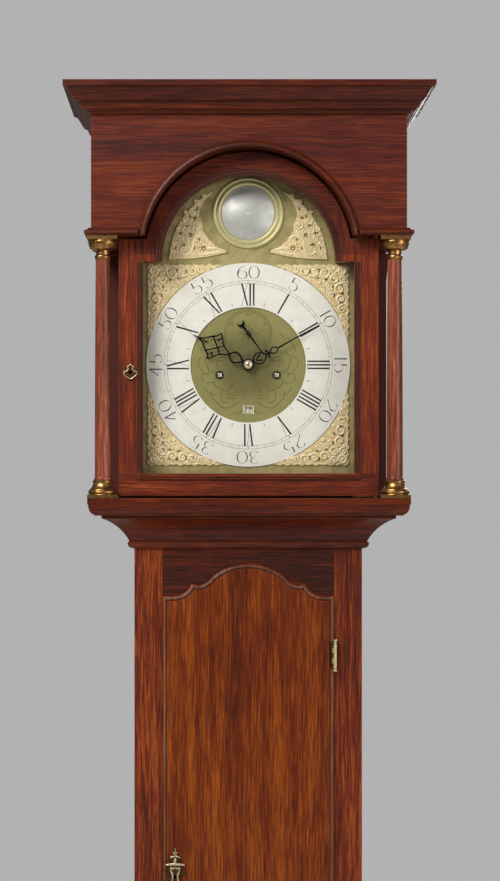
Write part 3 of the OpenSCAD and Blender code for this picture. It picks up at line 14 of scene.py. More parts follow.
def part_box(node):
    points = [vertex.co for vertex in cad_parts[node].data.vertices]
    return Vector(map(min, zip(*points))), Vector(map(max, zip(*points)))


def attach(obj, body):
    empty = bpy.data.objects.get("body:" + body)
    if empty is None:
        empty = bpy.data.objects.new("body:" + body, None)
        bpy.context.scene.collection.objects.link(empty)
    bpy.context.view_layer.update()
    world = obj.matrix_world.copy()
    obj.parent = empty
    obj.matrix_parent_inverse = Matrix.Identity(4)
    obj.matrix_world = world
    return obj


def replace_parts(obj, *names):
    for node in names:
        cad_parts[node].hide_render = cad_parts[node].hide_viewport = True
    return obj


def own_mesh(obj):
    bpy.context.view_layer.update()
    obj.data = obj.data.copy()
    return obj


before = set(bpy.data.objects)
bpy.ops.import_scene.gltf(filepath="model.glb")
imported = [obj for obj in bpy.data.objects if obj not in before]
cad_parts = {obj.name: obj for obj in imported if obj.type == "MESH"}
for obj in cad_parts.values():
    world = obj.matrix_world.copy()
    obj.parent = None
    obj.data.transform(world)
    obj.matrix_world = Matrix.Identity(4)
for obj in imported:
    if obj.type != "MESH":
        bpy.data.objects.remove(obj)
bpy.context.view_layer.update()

MM = 0.001

# %% [markdown]
# The camera stands where the photographer stood: about 3.1 metres in front of the dial and at the eye height of
# somebody of middling size. The photograph shows only the hood and the top of the trunk, and the point straight ahead
# of the lens lies left of its middle and below it. So the camera keeps looking level and the picture is shifted
# instead. A tilt would make the upright case lean.

# %% Camera
PICTURE_HIGH = 881
FOCAL_PX = 2230
AHEAD_LEFT, AHEAD_DOWN = 45, 39.5
SENSOR_MM = 36
EYE = Vector((-0.060, -3.1375, 1.570))
camera = bpy.data.objects.new("Camera", bpy.data.cameras.new("Camera"))
bpy.context.scene.collection.objects.link(camera)
camera.location = EYE
camera.rotation_euler = (math.radians(90), 0, 0)
camera.data.sensor_width = SENSOR_MM
camera.data.lens = FOCAL_PX * SENSOR_MM / PICTURE_HIGH
camera.data.shift_x = AHEAD_LEFT / PICTURE_HIGH
camera.data.shift_y = AHEAD_DOWN / PICTURE_HIGH
bpy.context.scene.camera = camera
print("camera:", round(camera.data.lens, 1), "mm lens at", tuple(EYE))

# %% [markdown]
# Colours are written as the hex codes that a paint program shows. A shader wants linear light instead, so one
# function turns the one into the other. A second one adds a node with its settings and its links in one line and
# gives back what comes out of it, so a finish reads like a recipe. Its patterns go by the object's own coordinates,
# which stay with a piece when it moves.

# %% Colour and node helpers
def linear(code):
    """Turns a hex colour into the linear numbers that a shader takes."""
    parts = [int(code[i:i + 2], 16) / 255 for i in (0, 2, 4)]
    return [c / 12.92 if c <= 0.04045 else ((c + 0.055) / 1.055) ** 2.4 for c in parts] + [1.0]


def add(tree, kind, inputs, output=0, stops=(), **settings):
    """Adds a node and gives an output; inputs are values or other outputs, stops are a ramp's places and colours."""
    made = tree.nodes.new("ShaderNode" + kind)
    for key, value in settings.items():
        setattr(made, key, value)
    for key, value in inputs.items():
        if isinstance(value, bpy.types.NodeSocket):
            tree.links.new(value, made.inputs[key])
        else:
            made.inputs[key].default_value = value
    for number, (place, code) in enumerate(stops):
        points = made.color_ramp.elements
        point = points[number] if number < 2 else points.new(place)
        point.position = place
        point.color = linear(code)
    return made.outputs[output]


def start_material(name, values):
    """Makes a material with these all-over values; gives it, its nodes and the object's coordinates."""
    made = bpy.data.materials.new(name)
    made.use_nodes = True
    for key, value in values.items():
        made.node_tree.nodes["Principled BSDF"].inputs[key].default_value = value
    return made, made.node_tree, add(made.node_tree, "TexCoord", {}, "Object")


def feed(made, socket, output):
    """Lets an output drive a socket of a material's shader."""
    made.node_tree.links.new(output, made.node_tree.nodes["Principled BSDF"].inputs[socket])

# %% [markdown]
# The room is a plain pale floor and an even grey wall of light, as in a studio. The wall looks brighter than the
# light it gives, because a room that shone from all sides would wash the colour out of waxed wood. One large soft
# lamp hangs high on the left and a weaker one on the right opens the shadows. Both are big for their distance, so the
# shadows under the mouldings have soft edges. A third one behind the clock lights its back for the views from there.

# %% Floor and light
def speckled(name, scale, low, high, start=0.3, **values):
    """Makes a material of two tones in specks."""
    made, tree, place = start_material(name, values)
    specks = add(tree, "TexNoise", {"Vector": place, "Scale": scale, "Detail": 3.0})
    feed(made, "Base Color", add(tree, "ValToRGB", {"Fac": specks}, stops=[(start, low), (0.7, high)]))
    return made


ROOM_LIGHT = 0.34
bpy.ops.object.select_all(action="DESELECT")
bpy.ops.mesh.primitive_plane_add(size=10, location=(0, 0, 0))
floor = bpy.context.object
floor.name = "studio_floor"
floor.data.materials.append(speckled("pale studio floor", 3.0, "e6e5e1", "eeede9", Roughness=0.8))

world = bpy.data.worlds.new("studio grey")
world.use_nodes = True
tree = world.node_tree
wall = tree.nodes["Background"]
wall.inputs["Color"].default_value = linear("b2b2b2")
seen = add(tree, "LightPath", {}, "Is Camera Ray")
tree.links.new(add(tree, "MapRange", {"Value": seen, "To Min": ROOM_LIGHT, "To Max": 1.0}), wall.inputs["Strength"])
bpy.context.scene.world = world
bpy.context.scene.view_settings.view_transform = "Standard"


def lamp(name, place, target, size, power):
    """Hangs a square soft white lamp that looks at a target."""
    light = bpy.data.lights.new(name, "AREA")
    light.size = size
    light.energy = power
    made = bpy.data.objects.new(name, light)
    bpy.context.scene.collection.objects.link(made)
    made.location = place
    made.rotation_euler = (Vector(target) - Vector(place)).to_track_quat("-Z", "Y").to_euler()


lamp("key lamp", (-1.7, -2.5, 3.8), (0, 0, 1.5), 1.5, 135)
lamp("fill lamp", (2.4, -2.2, 2.0), (0, 0, 1.5), 1.8, 42)
lamp("back lamp", (0.8, 2.6, 2.8), (0, 0, 1.4), 1.6, 45)
print("studio: floor, world light and three lamps")

# %% [markdown]
# The case is oak, stained red-brown and waxed for three hundred years. Seen close, oak shows three things: broad
# light and dark growth bands along the board, short dark pores that run with the grain, and, where the log was cut
# toward its heart, pale silky flecks across it. Each is a noise pattern stretched along the board. A board's grain
# always runs along its length, so rails lie across and stiles stand up. One material serves a framed piece by
# switching the direction inside named boxes.

# %% Grain direction
STRETCH = 26
ZONE_SHIFT = (0.37, 0.21, 0.13)


def boxed(tree, place, box):
    """Gives 1 inside a box of metres and 0 outside; None leaves a direction open."""
    inside = 1.0
    for axis, span in zip("XYZ", box):
        if span:
            along = add(tree, "SeparateXYZ", {"Vector": place}, axis)
            test = add(tree, "Math", {0: along, 1: (span[0] + span[1]) / 2, 2: (span[1] - span[0]) / 2},
                       operation="COMPARE")
            inside = add(tree, "Math", {0: inside, 1: test}, operation="MULTIPLY")
    return inside


def mix_vectors(tree, factor, first, second):
    """Gives the first vector where the factor is 0 and the second where it is 1."""
    gap = add(tree, "VectorMath", {0: second, 1: first}, operation="SUBTRACT")
    part = add(tree, "VectorMath", {0: gap, "Scale": factor}, operation="SCALE")
    return add(tree, "VectorMath", {0: first, 1: part}, operation="ADD")


def along_grain(tree, place, axis, zones=()):
    """Draws coordinates out along the grain; each zone has an axis and a box of its own."""
    shrink = {letter: [1 / STRETCH if letter == other else 1 for other in "XYZ"] for letter in "XYZ"}
    grain = add(tree, "VectorMath", {0: place, 1: shrink[axis]}, operation="MULTIPLY")
    for number, (zone_axis, box) in enumerate(zones, 1):
        shift = (ZONE_SHIFT[0] * number, *ZONE_SHIFT[1:])
        turned = add(tree, "VectorMath", {0: place, 1: shrink[zone_axis], 2: shift}, operation="MULTIPLY_ADD")
        grain = mix_vectors(tree, boxed(tree, place, box), grain, turned)
    return grain

# %% [markdown]
# The oak's measures are real ones. A board changes tone every 50 mm or so across its width, and its growth bands are
# about 10 mm apart. Pores are 0.3 mm wide, too fine for this picture, so they are drawn about 1.6 mm wide. The wax
# gives a soft shine, with a roughness near 0.4 that is a little lower on the hard late wood. Three centuries of
# dusting have rounded every edge and rubbed it pale: the Bevel node rounds the way light falls there, and where its
# direction differs from the flat face's, the stain is worn.

# %% Waxed oak
ROUNDING_MM = 1.6


def waxed_oak(name, axis, dark, middle, light, zones=(), fleck=0.0, shine=0.4, shade_boxes=()):
    """Makes stained and waxed oak; its last argument lists boxes painted darker as painted shade, each with how much.
    """
    made, tree, place = start_material(name, {
        "Specular IOR Level": 0.22, "Coat Weight": 0.05, "Coat Roughness": 0.15})
    grain = along_grain(tree, place, axis, zones)
    board = add(tree, "TexNoise", {"Vector": grain, "Scale": 20.0, "Detail": 2.0})
    bands = add(tree, "TexNoise", {"Vector": grain, "Scale": 105.0, "Detail": 4.0, "Roughness": 0.65})
    pores = add(tree, "TexNoise", {"Vector": grain, "Scale": 640.0, "Detail": 3.0, "Roughness": 0.65})
    stain = add(tree, "TexNoise", {"Vector": place, "Scale": 5.0, "Detail": 3.0})
    tone = -0.21
    for pattern, share in ((board, 0.42), (bands, 0.38), (stain, 0.25), (pores, 0.8)):
        tone = add(tree, "Math", {0: pattern, 1: share, 2: tone}, operation="MULTIPLY_ADD")
    # Painted shade: each listed box is darkened where the piece sits in shade under a moulding.
    for box, more in shade_boxes:
        tone = add(tree, "Math", {0: boxed(tree, place, box), 1: -more, 2: tone}, operation="MULTIPLY_ADD")
    colour = add(tree, "ValToRGB", {"Fac": tone}, stops=[(0.48, dark), (0.71, middle), (0.95, light)])
    if fleck:
        rays = add(tree, "TexNoise", {"Vector": grain, "Scale": 190.0, "Detail": 1.0, "Distortion": 1.2})
        show = add(tree, "MapRange", {"Value": rays, "From Min": 0.6, "From Max": 0.68, "To Max": fleck})
        colour = add(tree, "MixRGB", {"Fac": show, "Color1": colour, "Color2": linear(light)})
    rounded = add(tree, "Bevel", {"Radius": ROUNDING_MM * MM}, samples=3)
    flat = add(tree, "NewGeometry", {}, "True Normal")
    turn = add(tree, "VectorMath", {0: rounded, 1: flat}, "Value", operation="DOT_PRODUCT")
    worn = add(tree, "MapRange", {"Value": turn, "From Min": 0.97, "From Max": 0.72, "To Max": 0.55})
    feed(made, "Base Color", add(tree, "MixRGB", {"Fac": worn, "Color1": colour, "Color2": linear(RUBBED)}))
    feed(made, "Roughness", add(tree, "MapRange", {
        "Value": tone, "From Min": 0.45, "From Max": 0.95, "To Min": shine + 0.1, "To Max": shine - 0.08}))
    height = add(tree, "Math", {0: pores, 1: bands}, operation="ADD")
    feed(made, "Normal", add(tree, "Bump", {
        "Height": height, "Strength": 0.18, "Distance": 0.6 * MM, "Normal": rounded}))
    return made


RUBBED = "a8704e"
DARK, MIDDLE, LIGHT = "280c04", "642511", "a5511f"
# Painted shade: the level boards get darker tones than the upright ones, as their mouldings and cornice face down
# into shade.
SHADED_DARK, SHADED_MIDDLE, SHADED_LIGHT = "1a0501", "491405", "7c3109"
BEHIND_FRONT = (-0.094, 0.2)
SIDE_RETURNS = [("Y", (span, BEHIND_FRONT, None)) for span in ((-0.30, -0.2015), (0.2015, 0.30))]
BEAD_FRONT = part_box("hood_door")[0].y
DOOR_BEAD = (BEAD_FRONT - 1 * MM, BEAD_FRONT + 3.8 * MM)
HOOD_OPENING, HOOD_DOOR_WIDE = (-0.119, 0.119), (-0.16, 0.16)
HOOD_SILL, ABOVE_SILL = (1.54, 1.579), (1.580, 2.2)
HOOD_HEAD, HOOD_ARCH = (1.90, 2.05), (1.88, 2.05)
TRUNK_OPENING, TRUNK_HEAD, TRUNK_FOOT = (-0.1195, 0.1195), (1.40, 1.50), (0.40, 0.56)
oaks = {
    "stile": waxed_oak("waxed oak, upright", "Z", DARK, MIDDLE, LIGHT),
    "rail": waxed_oak("waxed oak, level", "X", SHADED_DARK, SHADED_MIDDLE, SHADED_LIGHT, SIDE_RETURNS),
    "frieze": waxed_oak("waxed quarter-sawn oak frieze", "X", "2b0d08", "551d11", "7f3b1d", SIDE_RETURNS, fleck=0.3),
    # The hood door is darker in three boxes: painted shade on its arch head under the arch moulding and on the bead
    # round its opening, and a darker bottom rail.
    "hood_door": waxed_oak("waxed oak hood door", "Z", "340f06", "6c2813", "aa5424",
                           [("X", (None, None, HOOD_SILL)), ("X", (HOOD_OPENING, None, HOOD_HEAD))],
                           shade_boxes=[((HOOD_DOOR_WIDE, None, HOOD_ARCH), 0.1), ((None, None, HOOD_SILL), 0.1),
                                 ((None, DOOR_BEAD, ABOVE_SILL), 0.2)]),
    # Painted shade: the trunk frame's head rail is darkened, as it sits in shade under the hood's cove.
    "frame": waxed_oak("waxed oak trunk frame", "Z", DARK, "5f210e", LIGHT,
                       [("X", (TRUNK_OPENING, None, TRUNK_HEAD)), ("X", (TRUNK_OPENING, None, TRUNK_FOOT))],
                       shade_boxes=[((TRUNK_OPENING, None, TRUNK_HEAD), 0.1)]),
    "trunk_door": waxed_oak("waxed quarter-sawn oak trunk door", "Z", "2c0b02", "642609", "9e5016", fleck=0.25,
                            shine=0.34),
    "edge": waxed_oak("waxed oak, moulded edge", "Z", "301810", "60392b", "94705c", shine=0.3),
    "column": waxed_oak("waxed oak, turned", "Z", "3b170c", "7c3c29", "b66f4c", shine=0.3),
}
print("oak:", len(oaks), "cuts of board")

# %% [markdown]
# Behind the oak the carcase is bare softwood, planed by hand and greyed by dust. It has wide pale bands, fine dark
# lines where the late wood is, and no shine at all.

# %% Bare deal
def bare_deal(name, axis):
    """Makes unpolished softwood boards."""
    made, tree, place = start_material(name, {"Roughness": 0.8, "IOR": 1.45})
    grain = along_grain(tree, place, axis)
    lines = add(tree, "TexWave", {"Vector": grain, "Scale": 45.0, "Distortion": 6.0, "Detail": 3.0,
                                  "Detail Scale": 1.5}, "Fac", bands_direction="Z" if axis == "X" else "X")
    dust = add(tree, "TexNoise", {"Vector": grain, "Scale": 30.0, "Detail": 5.0})
    tone = add(tree, "Math", {0: lines, 1: 0.5, 2: dust}, operation="MULTIPLY_ADD")
    feed(made, "Base Color", add(tree, "ValToRGB", {"Fac": tone}, stops=[
        (0.3, "6b4d30"), (0.7, "8f6d45"), (1.0, "a88560")]))
    feed(made, "Normal", add(tree, "Bump", {"Height": tone, "Strength": 0.3, "Distance": 0.4 * MM}))
    return made


deal = bare_deal("bare deal along X", "X")
print("deal: level boards")

# %% [markdown]
# The metals differ by how they were finished. Case fittings are cast brass under old lacquer, brown in the hollows.
# The dial plate is beaten brass that has gone olive. The ring is brass rubbed with silver salts and brushed round its
# centre. The train is polished, and the hands are steel heated until it turned a blue that is nearly black.

# %% Metals
def metal(name, low, high, rough, patch_mm, grit=0.0, grit_mm=1.0, metallic=1.0):
    """Makes an aged metal with two tones, a shine that varies, and a gritty surface if asked."""
    made, tree, place = start_material(name, {"Metallic": metallic})
    patch = add(tree, "TexNoise", {"Vector": place, "Scale": 1 / (patch_mm * MM), "Detail": 5.0, "Roughness": 0.6})
    feed(made, "Base Color", add(tree, "ValToRGB", {"Fac": patch}, stops=[(0.35, low), (0.65, high)]))
    feed(made, "Roughness", add(tree, "MapRange", {
        "Value": patch, "From Min": 0.3, "From Max": 0.7, "To Min": rough + 0.1, "To Max": rough - 0.05}))
    if grit:
        grains = add(tree, "TexNoise", {"Vector": place, "Scale": 1 / (grit_mm * MM), "Detail": 2.0})
        feed(made, "Normal", add(tree, "Bump", {"Height": grains, "Strength": grit, "Distance": 0.3 * MM}))
    return made


metals = {
    "case_brass": metal("cast brass, old lacquer", "6e4a28", "bd8f58", 0.32, 5.0, 0.5, 1.2),
    # The escutcheon plates' dark brown is patina and painted shade; the pale brass below is a painted highlight for
    # their rims.
    "escutcheon_brass_in_shade": metal("brass plate, brown with age and painted shade", "3d2a1a", "6d4f31", 0.45, 4.0, 0.4),
    "rim_highlight_brass": metal("brass, pale as a painted highlight", "b39f74", "ead9b0", 0.3, 3.0, 0.4, metallic=0.6),
    "gilt": metal("cast brass, gilt and worn", "ecd296", "fff3cc", 0.36, 3.0, 0.5, 0.8, 0.15),
    "gilt_hollows": metal("gilt brass, dull in the hollows", "bfa165", "ffe9b6", 0.5, 1.6, 0.6, 0.9, 0.1),
    "train_brass": metal("clock brass, polished", "b8904a", "d9b56c", 0.24, 12.0),
    "steel": metal("bright steel arbors", "8d8d8a", "bdbcb8", 0.25, 8.0),
    "blued_steel": metal("steel, blued by heat", "0b0d14", "161b28", 0.34, 5.0),
    "iron": metal("wrought iron, black from the forge", "2c2a28", "474441", 0.55, 4.0, 0.6, 1.5),
    "bell_metal": metal("bell metal, turned", "a08c5e", "c9b68a", 0.3, 10.0),
}
print("metals:", len(metals))

# %% [markdown]
# The dial plate is one sheet of brass. Outside the chapter ring it was burnished and has gone olive; inside, it was
# brushed round and round, and light plays on it as on a record. So its material measures how far a point is from the
# centre, and uses that distance both for the brush lines and for the change of tone.

# %% Dial plate and silvered finishes
PLATE_FRONT, RING_FRONT = -0.0375, -0.0395
DIAL = Vector((0, PLATE_FRONT, 1.730))
BRUSHED_WITHIN, LIGHTEST_AT = 0.0806, 0.08


def from_axis(tree, centre):
    """Measures how far a point is from a line that runs front to back through a centre, in metres."""
    flat = add(tree, "VectorMath", {0: add(tree, "TexCoord", {}, "Object"), 1: (1, 0, 1)}, operation="MULTIPLY")
    return add(tree, "VectorMath", {0: flat, 1: (centre.x, 0, centre.z)}, "Value", operation="DISTANCE")


def brushed(made, distance, strength):
    """Adds fine circles to a surface that is lit from its grooves."""
    tree = made.node_tree
    circles = add(tree, "TexNoise", {"W": distance, "Scale": 1600.0, "Detail": 2.0}, noise_dimensions="1D")
    feed(made, "Normal", add(tree, "Bump", {"Height": circles, "Strength": strength, "Distance": 0.2 * MM}))
    return circles


def silvered(name, centre, low, high, metallic):
    """Makes silvered brass, brushed in circles round a centre."""
    made = metal(name, low, high, 0.42, 20.0, metallic=metallic)
    brushed(made, from_axis(made.node_tree, centre), 0.15)
    return made


def recolour(made, factor, colour):
    """Gives a finish another colour where the factor is 1."""
    before = made.node_tree.nodes["Principled BSDF"].inputs["Base Color"].links[0].from_socket
    feed(made, "Base Color", add(made.node_tree, "MixRGB", {"Fac": factor, "Color1": before, "Color2": colour}))


plate = metal("dial brass, brushed, olive with age", "9c905a", "c6b77d", 0.4, 14.0, metallic=0.4)
tree = plate.node_tree
radius = from_axis(tree, DIAL)
rise = add(tree, "MapRange", {"Value": radius, "From Max": LIGHTEST_AT})
tone = add(tree, "Math", {0: brushed(plate, radius, 0.25), 1: 0.5, 2: rise}, operation="MULTIPLY_ADD")
middle = add(tree, "ValToRGB", {"Fac": tone}, stops=[(0.2, "675f35"), (0.7, "7f7747"), (1.0, "9f975d")])
recolour(plate, add(tree, "Math", {0: radius, 1: BRUSHED_WITHIN}, operation="LESS_THAN"), middle)
metals["dial_brass"] = plate
metals["silvered"] = silvered("silvered brass ring", DIAL, "e8e5d6", "f6f3e6", 0.1)
print("dial finishes: brushed brass and silvering")

# %% [markdown]
# The boss in the arch was turned in one piece with two rings round a dome. The dome alone is silvered, so its
# material changes to olive brass beyond 38 millimetres from its centre.

# %% Boss
BOSS = Vector((0, PLATE_FRONT, 1.941))
DOME = 0.038
boss = silvered("silvered boss in brass rings", BOSS, "c3c2bb", "deddd5", 0.6)
radius = from_axis(boss.node_tree, BOSS)
recolour(boss, add(boss.node_tree, "Math", {0: radius, 1: DOME}, operation="GREATER_THAN"), linear("d9d09a"))
metals["silvered_boss"] = boss
print("boss: silvered within", DOME, "of", tuple(round(v, 4) for v in BOSS))

# %% [markdown]
# Old window glass is clear with a breath of green. Light has to reach the dial through it, so it is mostly
# transparent and keeps only a thin shine on its face. The gut line is twisted sheep gut, yellow and a little waxy.
# The wax that fills the deep cuts of the dial is black and dull; the same black also serves as painted shade round
# the winding holes.

# %% Glass, gut and wax
glass, tree, place = start_material("old clear crown glass", {
    "Base Color": linear("2c302e"), "Roughness": 0.06, "IOR": 1.5, "Alpha": 0.05})
ripple = add(tree, "TexNoise", {"Vector": place, "Scale": 9.0})
feed(glass, "Normal", add(tree, "Bump", {"Height": ripple, "Strength": 0.08, "Distance": 2 * MM}))

gut, tree, place = start_material("twisted gut line", {"Roughness": 0.5, "IOR": 1.5})
twist = add(tree, "TexWave", {"Vector": place, "Scale": 400.0}, "Fac", bands_direction="DIAGONAL")
feed(gut, "Base Color", add(tree, "ValToRGB", {"Fac": twist}, stops=[(0.2, "8f6f3e"), (0.8, "c9ac74")]))

wax = speckled("black engraver's wax and painted hole shade", 900.0, "0d0c0b", "24221f", Roughness=0.55, IOR=1.5)
print("glass, gut and wax")

# %% [markdown]
# Three solids change their finish partway, so a test of the place tells the two apart. The backboard is bare deal
# like the rest of the carcase, but its front face, which shows beside the columns, gets a dark oak colour as painted
# shade, since it sits in shade there. On the hinges of the trunk the barrels are bright, and the leaves behind them
# are dark brown as painted shade from the door's lip. A weight is an iron drum, painted black, that hangs from a
# brass pulley.

# %% Finishes that change partway
board_low, board_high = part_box("backboard")
DOOR_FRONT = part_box("trunk_door")[0].y
DRUM_TOP = 0.664
shaded_backing = bare_deal("deal backboard, painted shade in front", "Z")
hinge_brass_shaded_leaves = metal("hinge brass, leaves in painted shade", "b9a270", "efdcae", 0.3, 3.0, metallic=0.6)
weight_finish = metal("cast iron, painted black", "232221", "3b3836", 0.5, 6.0, 0.4, 1.2)
for made, axis, test, edge, colour in (
        # Painted shade: the backboard's front face gets a dark oak colour beside the columns.
        (shaded_backing, "Y", "LESS_THAN", (board_low.y + board_high.y) / 2, SHADED_MIDDLE),
        # Painted shade: the hinge leaves behind the door's lip are dark brown.
        (hinge_brass_shaded_leaves, "Y", "GREATER_THAN", DOOR_FRONT - 2 * MM, "3a2416"),
        (weight_finish, "Z", "GREATER_THAN", DRUM_TOP, "bd8f58")):
    tree = made.node_tree
    along = add(tree, "SeparateXYZ", {"Vector": add(tree, "TexCoord", {}, "Object")}, axis)
    recolour(made, add(tree, "Math", {0: along, 1: edge}, operation=test), linear(colour))
    print(made.name + ": changes at", axis, round(edge, 4))

# %% [markdown]
# Every solid of the frame now gets the finish of its own stuff.

# %% Dress the frame
FINISHES = [
    (oaks["rail"], "plinth base_moulding throat_moulding hood_base arch_moulding cornice"),
    (oaks["stile"], "base_front base_sides trunk_sides hood_sides dial_mask"),
    (oaks["frame"], "trunk_frame"), (oaks["trunk_door"], "trunk_door"), (oaks["hood_door"], "hood_door"),
    (oaks["frieze"], "frieze"), (oaks["column"], "hood_columns"), (shaded_backing, "backboard"),
    (deal, "case_floor seatboard hood_top"), (glass, "side_windows hood_glass"),
    (hinge_brass_shaded_leaves, "trunk_hinge_leaves trunk_door_leaves"), (metals["escutcheon_brass_in_shade"], "trunk_escutcheon hood_escutcheon"),
    (metals["case_brass"], "column_mounts hood_door_pivots pendulum"),
    (metals["iron"], "trunk_lock hood_lock seatboard_fittings"), (metals["dial_brass"], "dial_plate"),
    (metals["silvered"], "chapter_ring calendar_disc"), (metals["silvered_boss"], "arch_boss"),
    (metals["gilt_hollows"], "corner_spandrels arch_spandrels"),
    (metals["train_brass"], "front_plate back_plate pillars back_cock going_barrel strike_barrel centre_wheel"
                            " third_wheel escape_wheel minute_wheel hour_wheel pin_wheel"),
    (metals["bell_metal"], "bell"), (metals["steel"], "hammer anchor"),
    (metals["blued_steel"], "hour_hand minute_hand seconds_hand"),
    (weight_finish, "going_weight strike_weight"), (gut, "going_line strike_line"),
]
finish_of = {name: finish for finish, names in FINISHES for name in names.split()}
for name, finish in finish_of.items():
    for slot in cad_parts[name].material_slots:
        slot.material = finish
print("dressed:", len(finish_of), "of", len(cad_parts))

# %% [markdown]
# The fine work of the dial is made of a few shapes that repeat many times: a stroke of a numeral, a minute line, a
# scroll of a casting. Each is modelled once and then stamped, every stamp with its own mesh, and the stamps are
# joined to one piece. When a piece is done it is settled: it gets its name, its finish and the body that carries it.

# %% Making and stamping helpers
def alone(piece):
    """Leaves one object selected and active."""
    bpy.ops.object.select_all(action="DESELECT")
    piece.select_set(True)
    bpy.context.view_layer.objects.active = piece


def settle(piece, name, finish, body):
    """Applies a piece's place, names it, and gives it its finish and the body that carries it."""
    alone(piece)
    bpy.ops.object.transform_apply(location=True, rotation=True, scale=True)
    piece.name = name
    piece.data.materials.clear()
    piece.data.materials.append(finish)
    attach(piece, body)
    print(name + ":", len(piece.data.polygons), "faces")
    return piece


def join(parts):
    """Joins several objects to one."""
    bpy.ops.object.select_all(action="DESELECT")
    for part in parts:
        part.select_set(True)
    bpy.context.view_layer.objects.active = parts[0]
    bpy.ops.object.join()
    return bpy.context.object


def stamp(first, places):
    """Copies a mesh to each place, removes the first and joins the copies."""
    copies = []
    for place in places:
        copy = bpy.data.objects.new(first.name, first.data.copy())
        copy.data.transform(place @ first.matrix_world)
        bpy.context.scene.collection.objects.link(copy)
        copies.append(copy)
    bpy.data.objects.remove(first)
    return join(copies)


def clockwise(degrees, centre):
    """Turns a place clockwise, as seen from the front, round an axis through a centre."""
    return Matrix.Translation(centre) @ Matrix.Rotation(math.radians(degrees), 4, "Y") @ Matrix.Translation(-centre)


def on_dial(x, z, y=RING_FRONT):
    """Gives a place on the dial from millimetres right of and above its centre."""
    return Vector((DIAL.x + x * MM, y, DIAL.z + z * MM))

# %% [markdown]
# A numeral on such a dial was cut with a graver and filled with black wax, so each stroke is a shallow bar. Thick and
# thin strokes follow the pen: the stroke of a V or an X that falls to the right is thick, the one that rises is thin,
# and a hairline serif closes each end. The bar is a cube drawn out in edit mode, a little narrower at its inner end.

# %% Roman numerals
WAX_MM = 0.12
NUMERAL_MID, NUMERAL_HIGH = 97.7, 30.4
SERIF_REACH, SERIF_THICK = 1.9, 0.35
# Each letter has its width and its strokes: x at the top, x at the foot, thickness.
STROKES = {
    "I": (4.9, [(2.45, 2.45, 2.4)]),
    "V": (9.4, [(1.3, 5.0, 2.4), (8.1, 5.0, 0.5)]),
    "X": (10.4, [(1.3, 9.1, 2.4), (9.1, 1.3, 0.5)]),
}


def bar(narrow=1.0):
    """Starts a unit bar that is narrower at its lower end."""
    bpy.ops.object.select_all(action="DESELECT")
    bpy.ops.mesh.primitive_cube_add(size=1)
    made = bpy.context.object
    bpy.ops.object.mode_set(mode="EDIT")
    bpy.ops.mesh.select_all(action="DESELECT")
    bpy.ops.object.mode_set(mode="OBJECT")
    for vertex in made.data.vertices:
        vertex.select = vertex.co.z < 0
    bpy.ops.object.mode_set(mode="EDIT")
    bpy.ops.transform.resize(value=(narrow, 1, 1))
    bpy.ops.object.mode_set(mode="OBJECT")
    return made


def laid(top, foot, width, front=RING_FRONT):
    """Places a unit bar as a stroke from a top point to a foot point, in millimetres on the dial."""
    run = Vector((top[0] - foot[0], top[1] - foot[1]))
    middle = on_dial((top[0] + foot[0]) / 2, (top[1] + foot[1]) / 2, front - WAX_MM * MM / 2)
    turn = Matrix.Rotation(math.atan2(run.x, run.y), 4, "Y")
    return Matrix.Translation(middle) @ turn @ Matrix.Diagonal((width * MM, WAX_MM * MM, run.length * MM, 1))


high, low = NUMERAL_MID + NUMERAL_HIGH / 2, NUMERAL_MID - NUMERAL_HIGH / 2
places = []
for hour, letters in enumerate("I II III IIII V VI VII VIII IX X XI XII".split(), 1):
    left = -sum(STROKES[letter][0] for letter in letters) / 2
    turn = clockwise(30 * hour, DIAL)
    for letter in letters:
        wide, strokes = STROKES[letter]
        for at_top, at_foot, width in strokes:
            places.append(turn @ laid((left + at_top, high), (left + at_foot, low), width))
            for x, z in ((left + at_top, high), (left + at_foot, low)):
                places.append(turn @ laid((x + SERIF_REACH, z), (x - SERIF_REACH, z), SERIF_THICK))
        left += wide
settle(stamp(bar(0.8), places), "roman_numerals", wax, "case")

# %% [markdown]
# Outside the hours run two engraved circles with a line across for every minute. A circle is a ring of edges that is
# extruded and drawn out to a narrow band, turned upright to face the front and given the depth of its wax. A short
# mark stands inside the hours halfway between each two of them. These cuts are shallow and their wax has been rubbed
# thin, so it looks grey.

# %% Circles and minute lines
def band(radius, width, centre, depth=WAX_MM):
    """Makes a flat band round a centre, in millimetres, facing the front."""
    bpy.ops.object.select_all(action="DESELECT")
    bpy.ops.mesh.primitive_circle_add(vertices=128, radius=(radius - width / 2) * MM)
    made = bpy.context.object
    bpy.ops.object.mode_set(mode="EDIT")
    bpy.ops.mesh.select_all(action="SELECT")
    bpy.ops.mesh.extrude_edges_move()
    grow = (radius + width / 2) / (radius - width / 2)
    bpy.ops.transform.resize(value=(grow, grow, 1))
    bpy.ops.mesh.select_all(action="SELECT")
    bpy.ops.mesh.extrude_region_move(TRANSFORM_OT_translate={"value": (0, 0, depth * MM)})
    bpy.ops.mesh.select_all(action="SELECT")
    bpy.ops.mesh.normals_make_consistent(inside=False)
    bpy.ops.object.mode_set(mode="OBJECT")
    made.rotation_euler = (math.radians(90), 0, 0)
    made.location = centre
    return made


faint_wax = speckled("engraver's wax, rubbed thin", 700.0, "66645c", "a09d92", Roughness=0.55)
MINUTE_IN, MINUTE_OUT = 113.0, 117.0
MARK_IN, MARK_OUT = 84.0, 88.5
circles = [band(r, 0.45, on_dial(0, 0)) for r in (MINUTE_IN, MINUTE_OUT)]
places = [clockwise(6 * k, DIAL) @ laid((0, MINUTE_OUT), (0, MINUTE_IN), 0.4 if k % 5 else 0.9) for k in range(60)]
places += [clockwise(30 * k + 15, DIAL) @ laid((0, MARK_OUT), (0, MARK_IN), 0.9) for k in range(12)]
settle(join([stamp(bar(), places)] + circles), "minute_track", faint_wax, "case")

